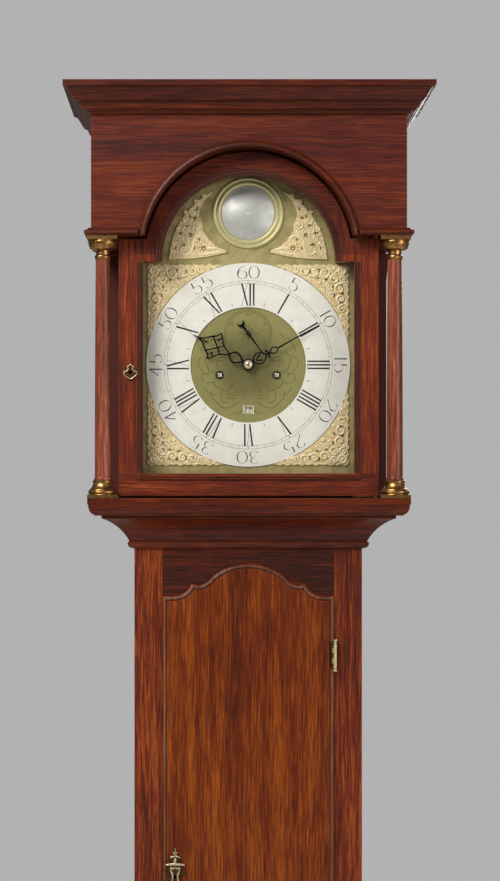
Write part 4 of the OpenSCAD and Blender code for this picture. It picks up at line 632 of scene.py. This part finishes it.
# %% [markdown]
# The minutes are numbered 5 to 60 outside that track, with their tops outward all the way round. They were cut by
# hand, so a printed letter form would look wrong: an upright stroke is thick and a level one is a hair. Here a pen
# draws them. Each digit is a few arcs and lines, and the line's width follows its direction. The same pen draws the
# hands later on.

# %% A pen for digits and pierced work
# Four numbers are a line from x, z to x, z; six are an arc: its centre, two radii and two angles.
DIGITS = {
    "0": [(0, 0, 0.40, 0.5, 90, 450)],
    "1": [(0, 0.5, 0, -0.5)],
    "2": [(0, 0.22, 0.30, 0.28, 165, -35), (0.25, 0.06, -0.34, -0.5), (-0.34, -0.5, 0.34, -0.5)],
    "3": [(-0.02, 0.25, 0.28, 0.25, 150, -90), (-0.02, -0.23, 0.35, 0.27, 90, -155)],
    "4": [(0.12, 0.5, -0.38, -0.2), (-0.38, -0.2, 0.38, -0.2), (0.12, 0.5, 0.12, -0.5)],
    "5": [(-0.22, 0.5, 0.30, 0.5), (-0.22, 0.5, -0.25, 0.06), (-0.02, -0.18, 0.34, 0.32, 135, -150)],
    "6": [(0, -0.18, 0.36, 0.32, 0, 360), (0.28, -0.12, 0.64, 0.62, 185, 95)],
}
DIGIT_WIDE, ONE_WIDE = 0.94, 0.5
ARC_STEPS = 14


def digit_paths(words, high, foot, thick, thin, degrees=0, centre=(0, 0)):
    """Lists the strokes of a number as points x, z and width, turned clockwise round a centre."""
    wides = [(ONE_WIDE if digit == "1" else DIGIT_WIDE) * high for digit in words]
    at = -sum(wides) / 2
    paths = []
    for digit, wide in zip(words, wides):
        for stroke in DIGITS[digit]:
            if len(stroke) == 4:
                ends = [stroke[:2], stroke[2:]]
            else:
                x, z, rx, rz, begin, end = stroke
                turns = [math.radians(begin + (end - begin) * k / ARC_STEPS) for k in range(ARC_STEPS + 1)]
                ends = [(x + rx * math.cos(t), z + rz * math.sin(t)) for t in turns]
            path = []
            for k, (x, z) in enumerate(ends):
                before, after = ends[max(k - 1, 0)], ends[min(k + 1, len(ends) - 1)]
                run = Vector((after[0] - before[0], after[1] - before[1]))
                width = thin + (thick - thin) * (run.y / run.length) ** 2
                path.append((at + wide / 2 + x * high, foot + (z + 0.5) * high, width))
            paths.append(turned(path, degrees, centre))
        at += wide
    return paths


def turned(path, degrees, centre=(0, 0), mirror=1):
    """Turns a path clockwise and moves it to a centre; mirror -1 swaps its sides first."""
    c, s = math.cos(math.radians(degrees)), math.sin(math.radians(degrees))
    return [(centre[0] + mirror * x * c + z * s, centre[1] - mirror * x * s + z * c, w) for x, z, w in path]


def drawn(paths, thick_mm, roundness, smooth=False, closed=False):
    """Draws paths of x, y, z and a share of the thickness as lines with a round section."""
    drawing = bpy.data.curves.new("strokes", "CURVE")
    drawing.dimensions = "3D"
    drawing.bevel_depth = thick_mm / 2 * MM
    drawing.bevel_resolution = roundness
    drawing.use_fill_caps = True
    for path in paths:
        line = drawing.splines.new("NURBS" if smooth else "POLY")
        line.points.add(len(path) - 1)
        for point, (x, y, z, share) in zip(line.points, path):
            point.co = (x, y, z, 1)
            point.radius = share
        line.use_cyclic_u = closed
        if smooth:
            line.order_u = 3
            line.use_endpoint_u = True
            line.resolution_u = 5
    made = bpy.data.objects.new("strokes", drawing)
    bpy.context.scene.collection.objects.link(made)
    alone(made)
    bpy.ops.object.convert(target="MESH")
    bpy.ops.object.shade_smooth()
    return bpy.context.object


def pen(paths, middle, depth, smooth=False):
    """Draws flattened strokes on the dial; each path lists points x, z and width in millimetres."""
    made = drawn([[(x * MM, 0, z * MM, width) for x, z, width in path] for path in paths], 1.0, 2, smooth)
    widest = max(width for path in paths for x, z, width in path)
    made.scale = (1, depth / widest, 1)
    made.location = (DIAL.x, middle, DIAL.z)
    bpy.ops.object.transform_apply(location=True, rotation=True, scale=True)
    return made


NUMBER_FOOT, NUMBER_HIGH = 119.6, 17.6
paths = []
for k in range(1, 13):
    paths += digit_paths(str(5 * k), NUMBER_HIGH, NUMBER_FOOT, 1.6, 0.25, 30 * k)
settle(pen(paths, RING_FRONT, 2 * WAX_MM), "minute_numbers", wax, "case")

# %% [markdown]
# The castings on the dial are made of scrolls: a stem that curls inward, thins as it goes and ends in a bead. One
# scroll for each hand is drawn as a spiral path whose points grow thinner, with a bead at its eye, and pressed a
# little flat. It is one millimetre in radius, so a stamp's scale is its radius.

# %% One scroll
SCROLL_TURNS, SCROLL_STEPS = 1.3, 26
EYE_REACH = 0.28
PRESS = 0.75


def scroll_form(hand, thick, thin, bead):
    """Draws a unit scroll in the plane of the dial; hand is 1 or -1."""
    path = []
    for k in range(SCROLL_STEPS + 1):
        part = k / SCROLL_STEPS
        reach = (1 - (1 - EYE_REACH) * part ** 0.8) * MM
        angle = hand * SCROLL_TURNS * 2 * math.pi * part
        path.append((reach * math.cos(angle), 0, reach * math.sin(angle), thick + (thin - thick) * part))
    stem = drawn([path], 2.0, 1)
    bpy.ops.object.select_all(action="DESELECT")
    bpy.ops.mesh.primitive_uv_sphere_add(segments=8, ring_count=5, radius=bead * MM)
    return join([stem, bpy.context.object])


def spread(scrolls, thick, thin, bead, quarters=(0,), diagonal=False):
    """Stamps scrolls given as x, z, radius, start angle and hand, with their mirror images, on each quarter turn."""
    places = {1: [], -1: []}
    for x, z, radius, start, hand in scrolls:
        twin = (z, x, 90 - start) if diagonal else (-x, z, 180 - start)
        for side, (at_x, at_z, begin) in ((hand, (x, z, start)), (-hand, twin)):
            size = Matrix.Diagonal((radius, radius * PRESS, radius, 1))
            place = Matrix.Translation(on_dial(at_x, at_z)) @ Matrix.Rotation(math.radians(-begin), 4, "Y") @ size
            places[side] += [clockwise(quarter, DIAL) @ place for quarter in quarters]
    return [stamp(scroll_form(hand, thick, thin, bead), places[hand]) for hand in (1, -1)]

# %% [markdown]
# Each corner holds the same casting. Its scrolls fill the space between the ring and the two straight edges: small
# ones in the narrow tips, large ones in the corner, and each has its twin across the diagonal.

# %% Relief of the corner castings
CORNER_SCROLLS = [
    (48.0, 136.2, 2.6, 200, 1), (56.0, 134.4, 3.8, 20, -1), (66.0, 132.4, 5.0, 190, 1), (77.5, 130.6, 6.2, 10, -1),
    (86.0, 119.6, 3.4, 90, 1), (91.5, 129.0, 6.8, 200, 1), (96.5, 116.0, 4.6, 60, -1), (105.5, 127.2, 7.6, 20, -1),
    (108.5, 114.0, 4.4, 120, 1), (120.0, 132.4, 6.0, 160, 1), (103.4, 104.4, 3.0, 40, -1),
    (119.0, 119.5, 6.6, 30, -1), (131.5, 131.8, 6.6, 225, 1), (112.6, 134.8, 3.6, 300, -1),
    (84.5, 136.4, 2.6, 250, 1), (72.0, 137.0, 2.2, 270, -1),
]
# A leaf is a path for the pen: points x, z and width in millimetres.
CORNER_LEAVES = [
    [(62, 137.6, 0.5), (68, 138.2, 2.2), (74, 137.0, 0.8)], [(97, 137.8, 0.6), (104, 137.4, 2.6), (112, 138.4, 0.8)],
    [(50, 131.6, 0.5), (58, 129.6, 1.8), (66, 126.6, 0.6)], [(71, 125.4, 0.6), (79, 122.4, 2.2), (86, 115.4, 0.6)],
    [(84, 124.6, 0.8), (90, 121.4, 2.2), (98, 121.8, 0.8)], [(98, 110.0, 0.6), (104, 110.4, 2.0), (110, 107.2, 0.6)],
    [(111, 121.2, 0.8), (116, 126.2, 2.6), (114, 131.6, 0.8)],
    [(124, 137.6, 0.6), (130, 138.6, 2.0), (137, 137.6, 0.8)],
    [(122.5, 122.5, 0.8), (127.0, 127.0, 2.8), (133.0, 133.0, 0.8)],
    [(39, 137.4, 0.5), (44, 136.2, 1.6), (50, 133.6, 0.5)],
]
QUARTERS = (0, 90, 180, 270)
leaves = CORNER_LEAVES + [[(z, x, w) for x, z, w in leaf] for leaf in CORNER_LEAVES]
leaves = [turned(leaf, quarter) for leaf in leaves for quarter in QUARTERS]
relief = join(spread(CORNER_SCROLLS, 0.34, 0.15, 0.26, QUARTERS, diagonal=True)
              + [pen(leaves, RING_FRONT, 1.7, smooth=True)])
bpy.ops.object.shade_smooth()
settle(relief, "corner_relief", metals["gilt"], "case")

# %% [markdown]
# The castings in the arch rise beside the boss. A rosette with a strong curl sits at the foot of each, and a leaf
# runs from it toward the middle. Heights are counted from near the foot of the arch.

# %% Relief of the arch castings
ARCH_UP = 142.0
ARCH_SCROLLS = [
    (71.5, 53.0, 6.6, 200, 1), (84.5, 58.0, 5.4, 20, -1), (78.5, 70.0, 5.2, 60, 1), (69.8, 84.5, 4.6, 40, -1),
    (60.5, 92.5, 3.6, 240, 1), (87.5, 44.5, 5.0, 80, -1), (96.5, 47.0, 3.8, 250, 1), (94.5, 33.5, 5.0, 30, 1),
    (102.8, 25.5, 4.4, 180, -1), (104.2, 14.2, 3.8, 320, 1), (70.0, 42.6, 3.6, 300, -1), (88.0, 70.0, 2.6, 100, 1),
    (73.5, 76.5, 2.4, 0, -1), (99.2, 38.5, 2.4, 120, 1),
]
ARCH_STROKES = [
    [(57.5, 29.0, 1.6), (57.0, 35.0, 2.6), (64.3, 37.6, 3.8), (71.4, 37.0, 4.4), (77.0, 31.0, 4.6), (77.2, 22.0, 4.4),
     (79.6, 13.6, 4.0), (86.0, 10.2, 3.4), (93.6, 13.2, 2.8), (94.0, 20.6, 2.2), (88.8, 22.8, 1.8), (85.4, 19.6, 1.6),
     (87.2, 16.6, 2.4)],
    [(31.6, 17.2, 0.6), (40.0, 18.8, 3.0), (49.0, 20.4, 5.4), (57.0, 19.6, 4.0)],
    [(31.6, 16.8, 0.5), (42.0, 15.0, 2.4), (54.0, 12.4, 3.8), (66.0, 11.2, 3.0), (75.0, 11.6, 1.2)],
    [(82.0, 64.0, 0.6), (88.0, 54.0, 2.6), (90.0, 45.0, 0.8)],
    [(76.0, 44.0, 0.8), (80.0, 52.0, 2.6), (78.0, 60.0, 0.8)],
    [(98.0, 12.0, 0.8), (100.0, 18.0, 2.4), (98.0, 26.0, 0.8)],
    [(62.0, 84.0, 0.6), (66.0, 78.0, 1.8), (72.0, 70.0, 0.6)],
    [(83.0, 28.0, 0.8), (86.0, 34.0, 2.4), (84.0, 40.0, 0.8)],
    [(50.0, 97.0, 0.5), (56.0, 95.0, 1.8), (64.0, 88.0, 0.6)],
]
ROSETTE = (65.2, 22.4)
PETAL = ((3.2, 3.4), (5.4, 3.0))


def on_arch(paths):
    """Lifts paths to the arch and gives each its mirror image."""
    return [[(side * x, z + ARCH_UP, w) for x, z, w in path] for path in paths for side in (-1, 1)]


petals = [[(ROSETTE[0] + reach * math.sin(t), ROSETTE[1] + reach * math.cos(t), wide) for reach, wide in PETAL]
          for t in (math.radians(72 * k + 10) for k in range(5))]
petals.append([(ROSETTE[0], ROSETTE[1] + rise, 3.2) for rise in (-0.2, 0.2)])
raised = [(x, z + ARCH_UP, radius, start, hand) for x, z, radius, start, hand in ARCH_SCROLLS]
relief = join(spread(raised, 0.32, 0.14, 0.28)
              + [pen(on_arch(ARCH_STROKES), RING_FRONT, 3.2, smooth=True), pen(on_arch(petals), RING_FRONT, 3.6)])
bpy.ops.object.shade_smooth()
settle(relief, "arch_relief", metals["gilt"], "case")

# %% [markdown]
# The middle of the dial is brushed brass with engraved foliage. Old brown wax and dirt fill its fine lines, so they
# are dark but not black. The seconds dial above the hands is engraved too: two circles with a line for each second,
# small numbers, and a star of rays at its centre.

# %% Engraving in the middle
engraved = speckled("engraving filled with old wax", 500.0, "38331b", "5a5230", 0.35, Roughness=0.6, Metallic=0.3)
VINES = [
    [(10, -22), (22, -27), (30, -36), (24, -44), (15, -40), (17, -33)], [(30, -36), (42, -33), (50, -24), (45, -17)],
    [(36, -35), (40, -46), (34, -54), (26, -51)], [(50, -24), (60, -26), (66, -18), (62, -10), (56, -14)],
    [(62, -10), (70, -2), (69, 9), (62, 12)], [(56, -14), (54, -4), (60, 4), (58, 14), (50, 18)],
    [(14, -52), (24, -60), (36, -60), (44, -52), (52, -44), (50, -36)], [(20, -66), (12, -70), (8, -62)],
    [(16, -46), (22, -48), (28, -45)], [(44, -41), (50, -43), (57, -38), (60, -31)], [(66, 20), (62, 30), (54, 38)],
    [(46, 24), (52, 30), (50, 40), (42, 46)], [(34, 4), (42, 8), (46, 2), (40, -3)], [(52, -8), (48, -12), (42, -10)],
]
fine = [[(side * x, z, 0.55 if k % 2 else 0.75) for k, (x, z) in enumerate(vine)]
        for vine in VINES for side in (-1, 1)]
settle(pen(fine, PLATE_FRONT, 2 * WAX_MM, smooth=True), "engraved_foliage", engraved, "case")

SECONDS_UP = 43.8
SECOND_IN, SECOND_OUT = 30.2, 33.2
RAYS = (4.5, 9.0, 13.0)
SECONDS_HIGH, SECONDS_FOOT = 3.6, 24.6
centre = on_dial(0, SECONDS_UP, PLATE_FRONT)


def radial(degrees, near, far, width):
    """Places a stroke along a radius of the seconds dial."""
    return clockwise(degrees, centre) @ laid((0, SECONDS_UP + far), (0, SECONDS_UP + near), width, PLATE_FRONT)


places = [radial(6 * k, SECOND_IN, SECOND_OUT, 0.3 if k % 5 else 0.55) for k in range(60)]
places += [radial(22.5 * k, RAYS[0], RAYS[1 if k % 2 else 2], 0.7) for k in range(16)]
paths = []
for k in range(1, 7):
    paths += digit_paths(str(10 * k), SECONDS_HIGH, SECONDS_FOOT, 0.5, 0.25, 60 * k, (0, SECONDS_UP))
circles = [band(r, 0.35, centre) for r in (SECOND_IN, SECOND_OUT)]
settle(join([stamp(bar(), places), pen(paths, PLATE_FRONT, 2 * WAX_MM)] + circles), "seconds_dial", engraved, "case")

# %% [markdown]
# A black band round each winding hole is painted shade of the hole, and the square end of the barrel's arbor shows
# inside it. The calendar's opening has a bevelled brass frame. It starts as a flat plate: insetting that and deleting
# its middle leaves a rim.

# %% Painted shade round the winding holes, squares, calendar frame
def modify(piece, kind, **settings):
    """Gives a piece a modifier with its settings and applies it."""
    made = piece.modifiers.new(kind.lower(), kind)
    for key, value in settings.items():
        setattr(made, key, value)
    bpy.ops.object.modifier_apply(modifier=made.name)


def block(centre, size, rounding_mm, segments):
    """Makes a block with rounded edges."""
    bpy.ops.object.select_all(action="DESELECT")
    bpy.ops.mesh.primitive_cube_add(size=1, location=centre)
    made = bpy.context.object
    made.scale = size
    bpy.ops.object.transform_apply(location=True, rotation=True, scale=True)
    modify(made, "BEVEL", width=rounding_mm * MM, segments=segments)
    return made


bright = metal("small brass, polished", "d8cba0", "f6ecc8", 0.25, 4.0, metallic=0.6)
WINDING = (39.6, -14.3)
HOLE_RADIUS, RIM_WIDE, RIM_DEEP = 4.7, 2.4, 0.3
SQUARE_MM = (5.4, 3, 5.4)
# Painted shade: a black band round each winding hole stands for the dark inside the hole.
rims = [band(HOLE_RADIUS, RIM_WIDE, on_dial(side * WINDING[0], WINDING[1], PLATE_FRONT), RIM_DEEP)
        for side in (-1, 1)]
settle(join(rims), "winding_hole_shades", wax, "case")
for side, key in ((1, "going"), (-1, "strike")):
    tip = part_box(key + "_barrel")[0].y + 1.2 * MM
    square = block(on_dial(side * WINDING[0], WINDING[1], tip), [v * MM for v in SQUARE_MM], 0.7, 2)
    settle(square, key + "_winding_square", bright, key + "_barrel_arbor")

CALENDAR_DOWN = -62.5
OPENING_WIDE, OPENING_HIGH, FRAME_WIDE, FRAME_DEEP = 15.5, 12.5, 2.2, 0.9
bpy.ops.object.select_all(action="DESELECT")
bpy.ops.mesh.primitive_plane_add(size=1, location=on_dial(0, CALENDAR_DOWN, PLATE_FRONT - FRAME_DEEP * MM),
                                 rotation=(math.radians(90), 0, 0))
rim = bpy.context.object
rim.scale = (OPENING_WIDE * MM, OPENING_HIGH * MM, 1)
bpy.ops.object.transform_apply(location=False, rotation=False, scale=True)
bpy.ops.object.mode_set(mode="EDIT")
bpy.ops.mesh.select_all(action="SELECT")
bpy.ops.mesh.inset(thickness=FRAME_WIDE * MM)
bpy.ops.mesh.delete(type="FACE")
bpy.ops.mesh.select_all(action="SELECT")
bpy.ops.object.mode_set(mode="OBJECT")
modify(rim, "SOLIDIFY", thickness=FRAME_DEEP * MM, offset=-1)
modify(rim, "BEVEL", width=0.4 * MM, segments=2)
settle(rim, "calendar_frame", bright, "case")
day = pen(digit_paths("12", 6.0, CALENDAR_DOWN - 3.0, 0.9, 0.4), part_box("calendar_disc")[0].y, 2 * WAX_MM)
settle(day, "calendar_number", wax, "calendar")

# %% [markdown]
# The hands were sawn and filed out of steel sheet, and the hour hand is pierced like lace. Drawn with the pen, each
# is a set of strokes that belong to one half, with their mirror image. The collet, a small domed brass washer, holds
# the minute hand on its square.

# %% Hands
HOUR_HALF = [
    [(0, 8.5, 3.0), (3.6, 13, 2.2), (7.0, 18, 2.0), (7.4, 22.5, 2.2), (4.6, 27, 2.0), (0, 30.5, 2.4)],
    [(0, 30.0, 2.2), (3.4, 35, 1.9), (5.2, 40, 1.9), (8.6, 44.6, 1.9), (13.5, 47.5, 1.9), (20.0, 53.4, 2.2)],
    [(20.6, 53.8, 2.2), (14.5, 56.0, 1.9), (11.6, 61.0, 2.4), (7.8, 66.4, 1.9), (3.6, 69.6, 2.0), (0, 77.5, 2.6)],
    [(12.2, 62.5, 2.0), (7.5, 57.5, 1.9), (2.6, 52.0, 1.9), (-2.4, 45.6, 1.9), (-7.6, 41.4, 1.6)],
    [(14.0, 48.6, 1.7), (12.4, 53.0, 1.9), (8.6, 52.4, 3.4)],
    [(7.6, 19.4, 2.0), (7.4, 20.4, 3.2)],
]
HOUR_MIDDLE = [[(0, 6.0, 4.4), (0, 9.5, 3.6)], [(0, 74.0, 2.8), (0, 80.0, 1.9), (0, 87.0, 0.9)],
               [(0, 28.5, 2.6), (0, 31.5, 2.6)], [(0, 62.0, 1.2), (0, 72.0, 2.0)]]
MINUTE_HALF = [
    [(0, 7.5, 3.4), (4.6, 11, 2.0), (7.6, 15, 1.9), (7.8, 20, 1.9), (5.6, 25, 1.9), (0, 28.8, 2.6)],
    [(0, 12.0, 1.6), (2.4, 17.0, 1.7), (4.6, 20.6, 2.6)],
    [(0, 32.4, 2.6), (3.6, 31.8, 2.6), (6.2, 30.2, 3.2)],
    [(0, 34.5, 2.4), (3.2, 37.4, 1.8), (4.8, 41.2, 1.7), (3.0, 44.6, 1.7), (0, 47.4, 2.0)],
]
MINUTE_MIDDLE = [[(0, 5.5, 4.2), (0, 9.0, 3.4)], [(0, 27.5, 2.6), (0, 35.5, 3.0)],
                 [(0, 46.0, 2.4), (0, 62.0, 2.0), (0, 96.0, 1.7), (0, 113.4, 0.8)]]
SHEET, HUB_WIDE = 1.1, 3.2
for name, half, middle, body, degrees, hub, back_mm in (
        ("hour_hand", HOUR_HALF, HOUR_MIDDLE, "hour_pipe", 298.8, 6.6, 0),
        ("minute_hand", MINUTE_HALF, MINUTE_MIDDLE, "centre_arbor", 60.7, 4.6, 1.0)):
    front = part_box(name)[0].y + back_mm * MM
    paths = [turned(path, degrees, mirror=side) for path in half for side in (1, -1)]
    paths += [turned(path, degrees) for path in middle]
    sheet = pen(paths, front + SHEET / 2 * MM, SHEET + 0.2, smooth=True)
    hub_ring = band(hub, HUB_WIDE, on_dial(0, 0, front + SHEET * MM), SHEET)
    pierced = settle(join([sheet, hub_ring]), name + "_pierced", metals["blued_steel"], body)
    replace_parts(pierced, name)

COLLET_RADIUS, COLLET_DEEP = 6.2, 1.8
# The loop above ends with the minute hand, so front is that hand's.
bpy.ops.object.select_all(action="DESELECT")
bpy.ops.mesh.primitive_cylinder_add(vertices=40, radius=COLLET_RADIUS * MM, depth=COLLET_DEEP * MM,
                                    location=on_dial(0, 0, front - COLLET_DEEP / 3 * MM),
                                    rotation=(math.radians(90), 0, 0))
collet = bpy.context.object
bpy.ops.object.transform_apply(location=True, rotation=True, scale=True)
for face in collet.data.polygons:
    face.select = face.normal.y < -0.9
bpy.ops.object.mode_set(mode="EDIT")
bpy.ops.mesh.select_mode(type="FACE")
for inset, forward in ((1.4, 0.6), (2.6, 0.5)):
    bpy.ops.mesh.inset(thickness=inset * MM)
    bpy.ops.transform.translate(value=(0, -forward * MM, 0))
bpy.ops.object.mode_set(mode="OBJECT")
bpy.ops.object.shade_smooth()
settle(collet, "hand_collet", bright, "centre_arbor")

# %% [markdown]
# The trunk door's edge is a rounded lip that laps over the frame. Here it is cut as a joiner would plane it: the
# door's own solid is copied and made whole, the front edge of its outline is picked by the tall edge face beside it,
# and that edge is rounded.

# %% Rounded lip of the trunk door
LIP_TALL, LIP_ROUND = 3 * MM, 3.2 * MM
door = bpy.data.objects.new("trunk_door_leaf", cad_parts["trunk_door"].data.copy())
bpy.context.scene.collection.objects.link(door)
alone(door)
bpy.ops.object.mode_set(mode="EDIT")
bpy.ops.mesh.select_all(action="SELECT")
bpy.ops.mesh.remove_doubles(threshold=0.01 * MM)
bpy.ops.mesh.dissolve_limited(angle_limit=math.radians(1))
bpy.ops.mesh.select_all(action="DESELECT")
bpy.ops.object.mode_set(mode="OBJECT")
beside = {}
for face in door.data.polygons:
    ys = [door.data.vertices[i].co.y for i in face.vertices]
    tall = LIP_TALL < max(ys) - min(ys) < 3 * LIP_TALL and abs(face.normal.y) < 0.1
    for key in face.edge_keys:
        beside.setdefault(key, []).append("side" if tall else "front" if face.normal.y < -0.9 else "other")
outline = {}
for edge in door.data.edges:
    ends = [door.data.vertices[i].co for i in edge.vertices]
    at_front = all(abs(end.y - DOOR_FRONT) < 0.05 * MM for end in ends)
    edge.select = at_front and sorted(beside[edge.key]) == ["front", "side"]
    if edge.select:
        for near, far in (edge.vertices, reversed(edge.vertices)):
            outline.setdefault(near, []).append(far)
print("outline edges picked:", sum(edge.select for edge in door.data.edges))
corners = {index: door.data.vertices[index].co.copy() for index in outline}
bpy.ops.object.mode_set(mode="EDIT")
bpy.ops.mesh.select_mode(type="EDGE")
bpy.ops.mesh.bevel(offset=LIP_ROUND, segments=5, profile=0.5, affect="EDGES")
bpy.ops.object.mode_set(mode="OBJECT")
bpy.ops.object.shade_smooth_by_angle(angle=math.radians(35))
modify(door, "WEIGHTED_NORMAL", keep_sharp=True)
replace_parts(settle(door, "trunk_door_lipped", oaks["trunk_door"], "trunk_door_leaf"), "trunk_door")

# %% [markdown]
# A small bead runs inside the lip, all the way round. It follows the same outline, moved 3.4 mm inwards: each corner
# goes along the direction that halves its angle. The outline becomes a closed line with a round section.

# %% Bead of the trunk door
BEAD_IN, BEAD_WIDE = 3.4, 3.4
order = [next(iter(outline))]
while len(order) < len(outline):
    order.append(next(i for i in outline[order[-1]] if i not in order))
loop = [corners[index] for index in order]
area = sum(p.x * q.z - q.x * p.z for p, q in zip(loop, loop[1:] + loop[:1])) / 2
path = []
for before, corner, after in zip(loop[-1:] + loop[:-1], loop, loop[1:] + loop[:1]):
    runs = [(corner - before).normalized(), (after - corner).normalized()]
    inward = [Vector((-run.z, 0, run.x)) * math.copysign(1, area) for run in runs]
    halfway = (inward[0] + inward[1]).normalized()
    path.append((*(corner + halfway * BEAD_IN * MM / max(0.5, halfway.dot(inward[0]))), 1))
settle(drawn([path], BEAD_WIDE, 3, closed=True), "trunk_door_bead", oaks["edge"], "trunk_door_leaf")

# %% [markdown]
# Each door has a brass escutcheon round its keyhole. The plates are dark brown, patina and painted shade, and a pale
# rim is drawn on them with the pen as a painted highlight where the raised edge catches the light: an onion-shaped
# outline on the hood, and on the trunk a small baroque piece with a finial, two pairs of wings, a cross bar and
# scrolls beside the keyhole.

# %% Escutcheon rims
HOOD_RIM = [[(0, 11.4, 1.0), (1.2, 8.8, 1.4), (4.6, 7.8, 1.6), (3.2, 5.2, 1.1), (3.0, 3.0, 1.2), (5.6, 0.9, 1.5),
             (9.6, 0.4, 1.6), (9.2, -2.8, 1.1), (5.0, -7.4, 1.4), (0, -9.6, 1.1)]]
TRUNK_RIM = [
    [(0, 40.0, 2.4), (0, 38.6, 2.6)], [(0, 38.0, 1.6), (0, 33.0, 2.4), (0, 27.5, 1.6)],
    [(0.6, 27.6, 1.6), (2.6, 29.6, 2.0), (6.2, 26.2, 1.8)], [(0.8, 31.4, 1.2), (2.6, 34.4, 1.6)],
    [(0, 26.0, 3.0), (1.0, 21.5, 2.6), (0, 19.0, 2.0)], [(0, 17.6, 4.0), (6.0, 17.2, 3.2), (12.8, 16.4, 2.2)],
    [(12.6, 16.6, 2.8), (13.0, 16.6, 2.8)], [(6.0, 13.4, 1.6), (3.2, 9.4, 2.0), (0.8, 12.8, 1.6)],
    [(6.4, 12.0, 1.4), (5.2, 5.4, 2.0), (3.4, 3.2, 2.2), (3.6, -4.4, 1.8), (6.2, -9.0, 1.6), (2.6, -13.4, 2.0),
     (0, -16, 1.6)],
]
TRUNK_KEY_UP = 1.020
for key, paths, up in (("hood", HOOD_RIM, None), ("trunk", TRUNK_RIM, TRUNK_KEY_UP)):
    low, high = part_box(key + "_escutcheon")
    right_mm = ((low.x + high.x) / 2 - DIAL.x) / MM
    up_mm = ((up or (low.z + high.z) / 2) - DIAL.z) / MM
    whole = [[(side * x + right_mm, z + up_mm, w) for x, z, w in path] for path in paths for side in (1, -1)]
    settle(pen(whole, low.y, 1.6, smooth=True), key + "_escutcheon_rim", metals["rim_highlight_brass"], key + "_door_leaf")

# %% [markdown]
# Each weight hangs from a gut line that comes down from its barrel, turns round the weight's pulley and goes back up
# to the seatboard. Gut is sold as two strands laid together, so each fall is a pair of thin spirals. When the clock
# is wound the weight rises and the falls get shorter. The turn below the pulley travels with the weight.

# %% Gut lines
GUT, LAY = 1.6, 8.0
STRAND = 0.6 * GUT
LAY_STEPS, BEND_STEPS = 6, 16
for key in ("going", "strike"):
    low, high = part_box(key + "_line")
    y = (low.y + high.y) / 2
    count = int((high.z - low.z) / (LAY * MM) * LAY_STEPS)
    falls = []
    for x in (low.x + GUT / 2 * MM, high.x - GUT / 2 * MM):
        for phase in (0, math.pi):
            turns = [(low.z + (high.z - low.z) * k / count, 2 * math.pi * k / LAY_STEPS + phase)
                     for k in range(count + 1)]
            falls.append([(x + GUT / 4 * MM * math.cos(t), y + GUT / 4 * MM * math.sin(t), z, 1) for z, t in turns])
    line = settle(drawn(falls, STRAND, 0), key + "_gut", gut, "case")
    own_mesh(line)
    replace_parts(line, key + "_line")
    middle, reach = (low.x + high.x) / 2, (high.x - low.x - GUT * MM) / 2
    bend = [math.pi * k / BEND_STEPS for k in range(BEND_STEPS + 1)]
    turn = drawn([[(middle + reach * math.cos(t), y, low.z - reach * math.sin(t), 1) for t in bend]], GUT + 0.3, 2)
    settle(turn, key + "_gut_turn", gut, key + "_drive")

# %% [markdown]
# Behind each capital a short rail joins the hood's side to its frieze. It closes the chink above the edge of the
# backboard, where the wall would otherwise shine through.

# %% Rails behind the capitals
RAIL_IN, RAIL_OUT = 0.172, 0.204
RAIL_DEEP, RAIL_HIGH, RAIL_AHEAD = 12 * MM, 14 * MM, 7 * MM
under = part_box("frieze")[0].z
rails = [block((side * (RAIL_IN + RAIL_OUT) / 2, board_low.y - RAIL_AHEAD, under),
               (RAIL_OUT - RAIL_IN, RAIL_DEEP, RAIL_HIGH), 2, 3) for side in (-1, 1)]
settle(join(rails), "hood_back_rails", oaks["rail"], "hood")

# %% [markdown]
# The last step closes the lesson.

# %% Finish
print("dressing done")
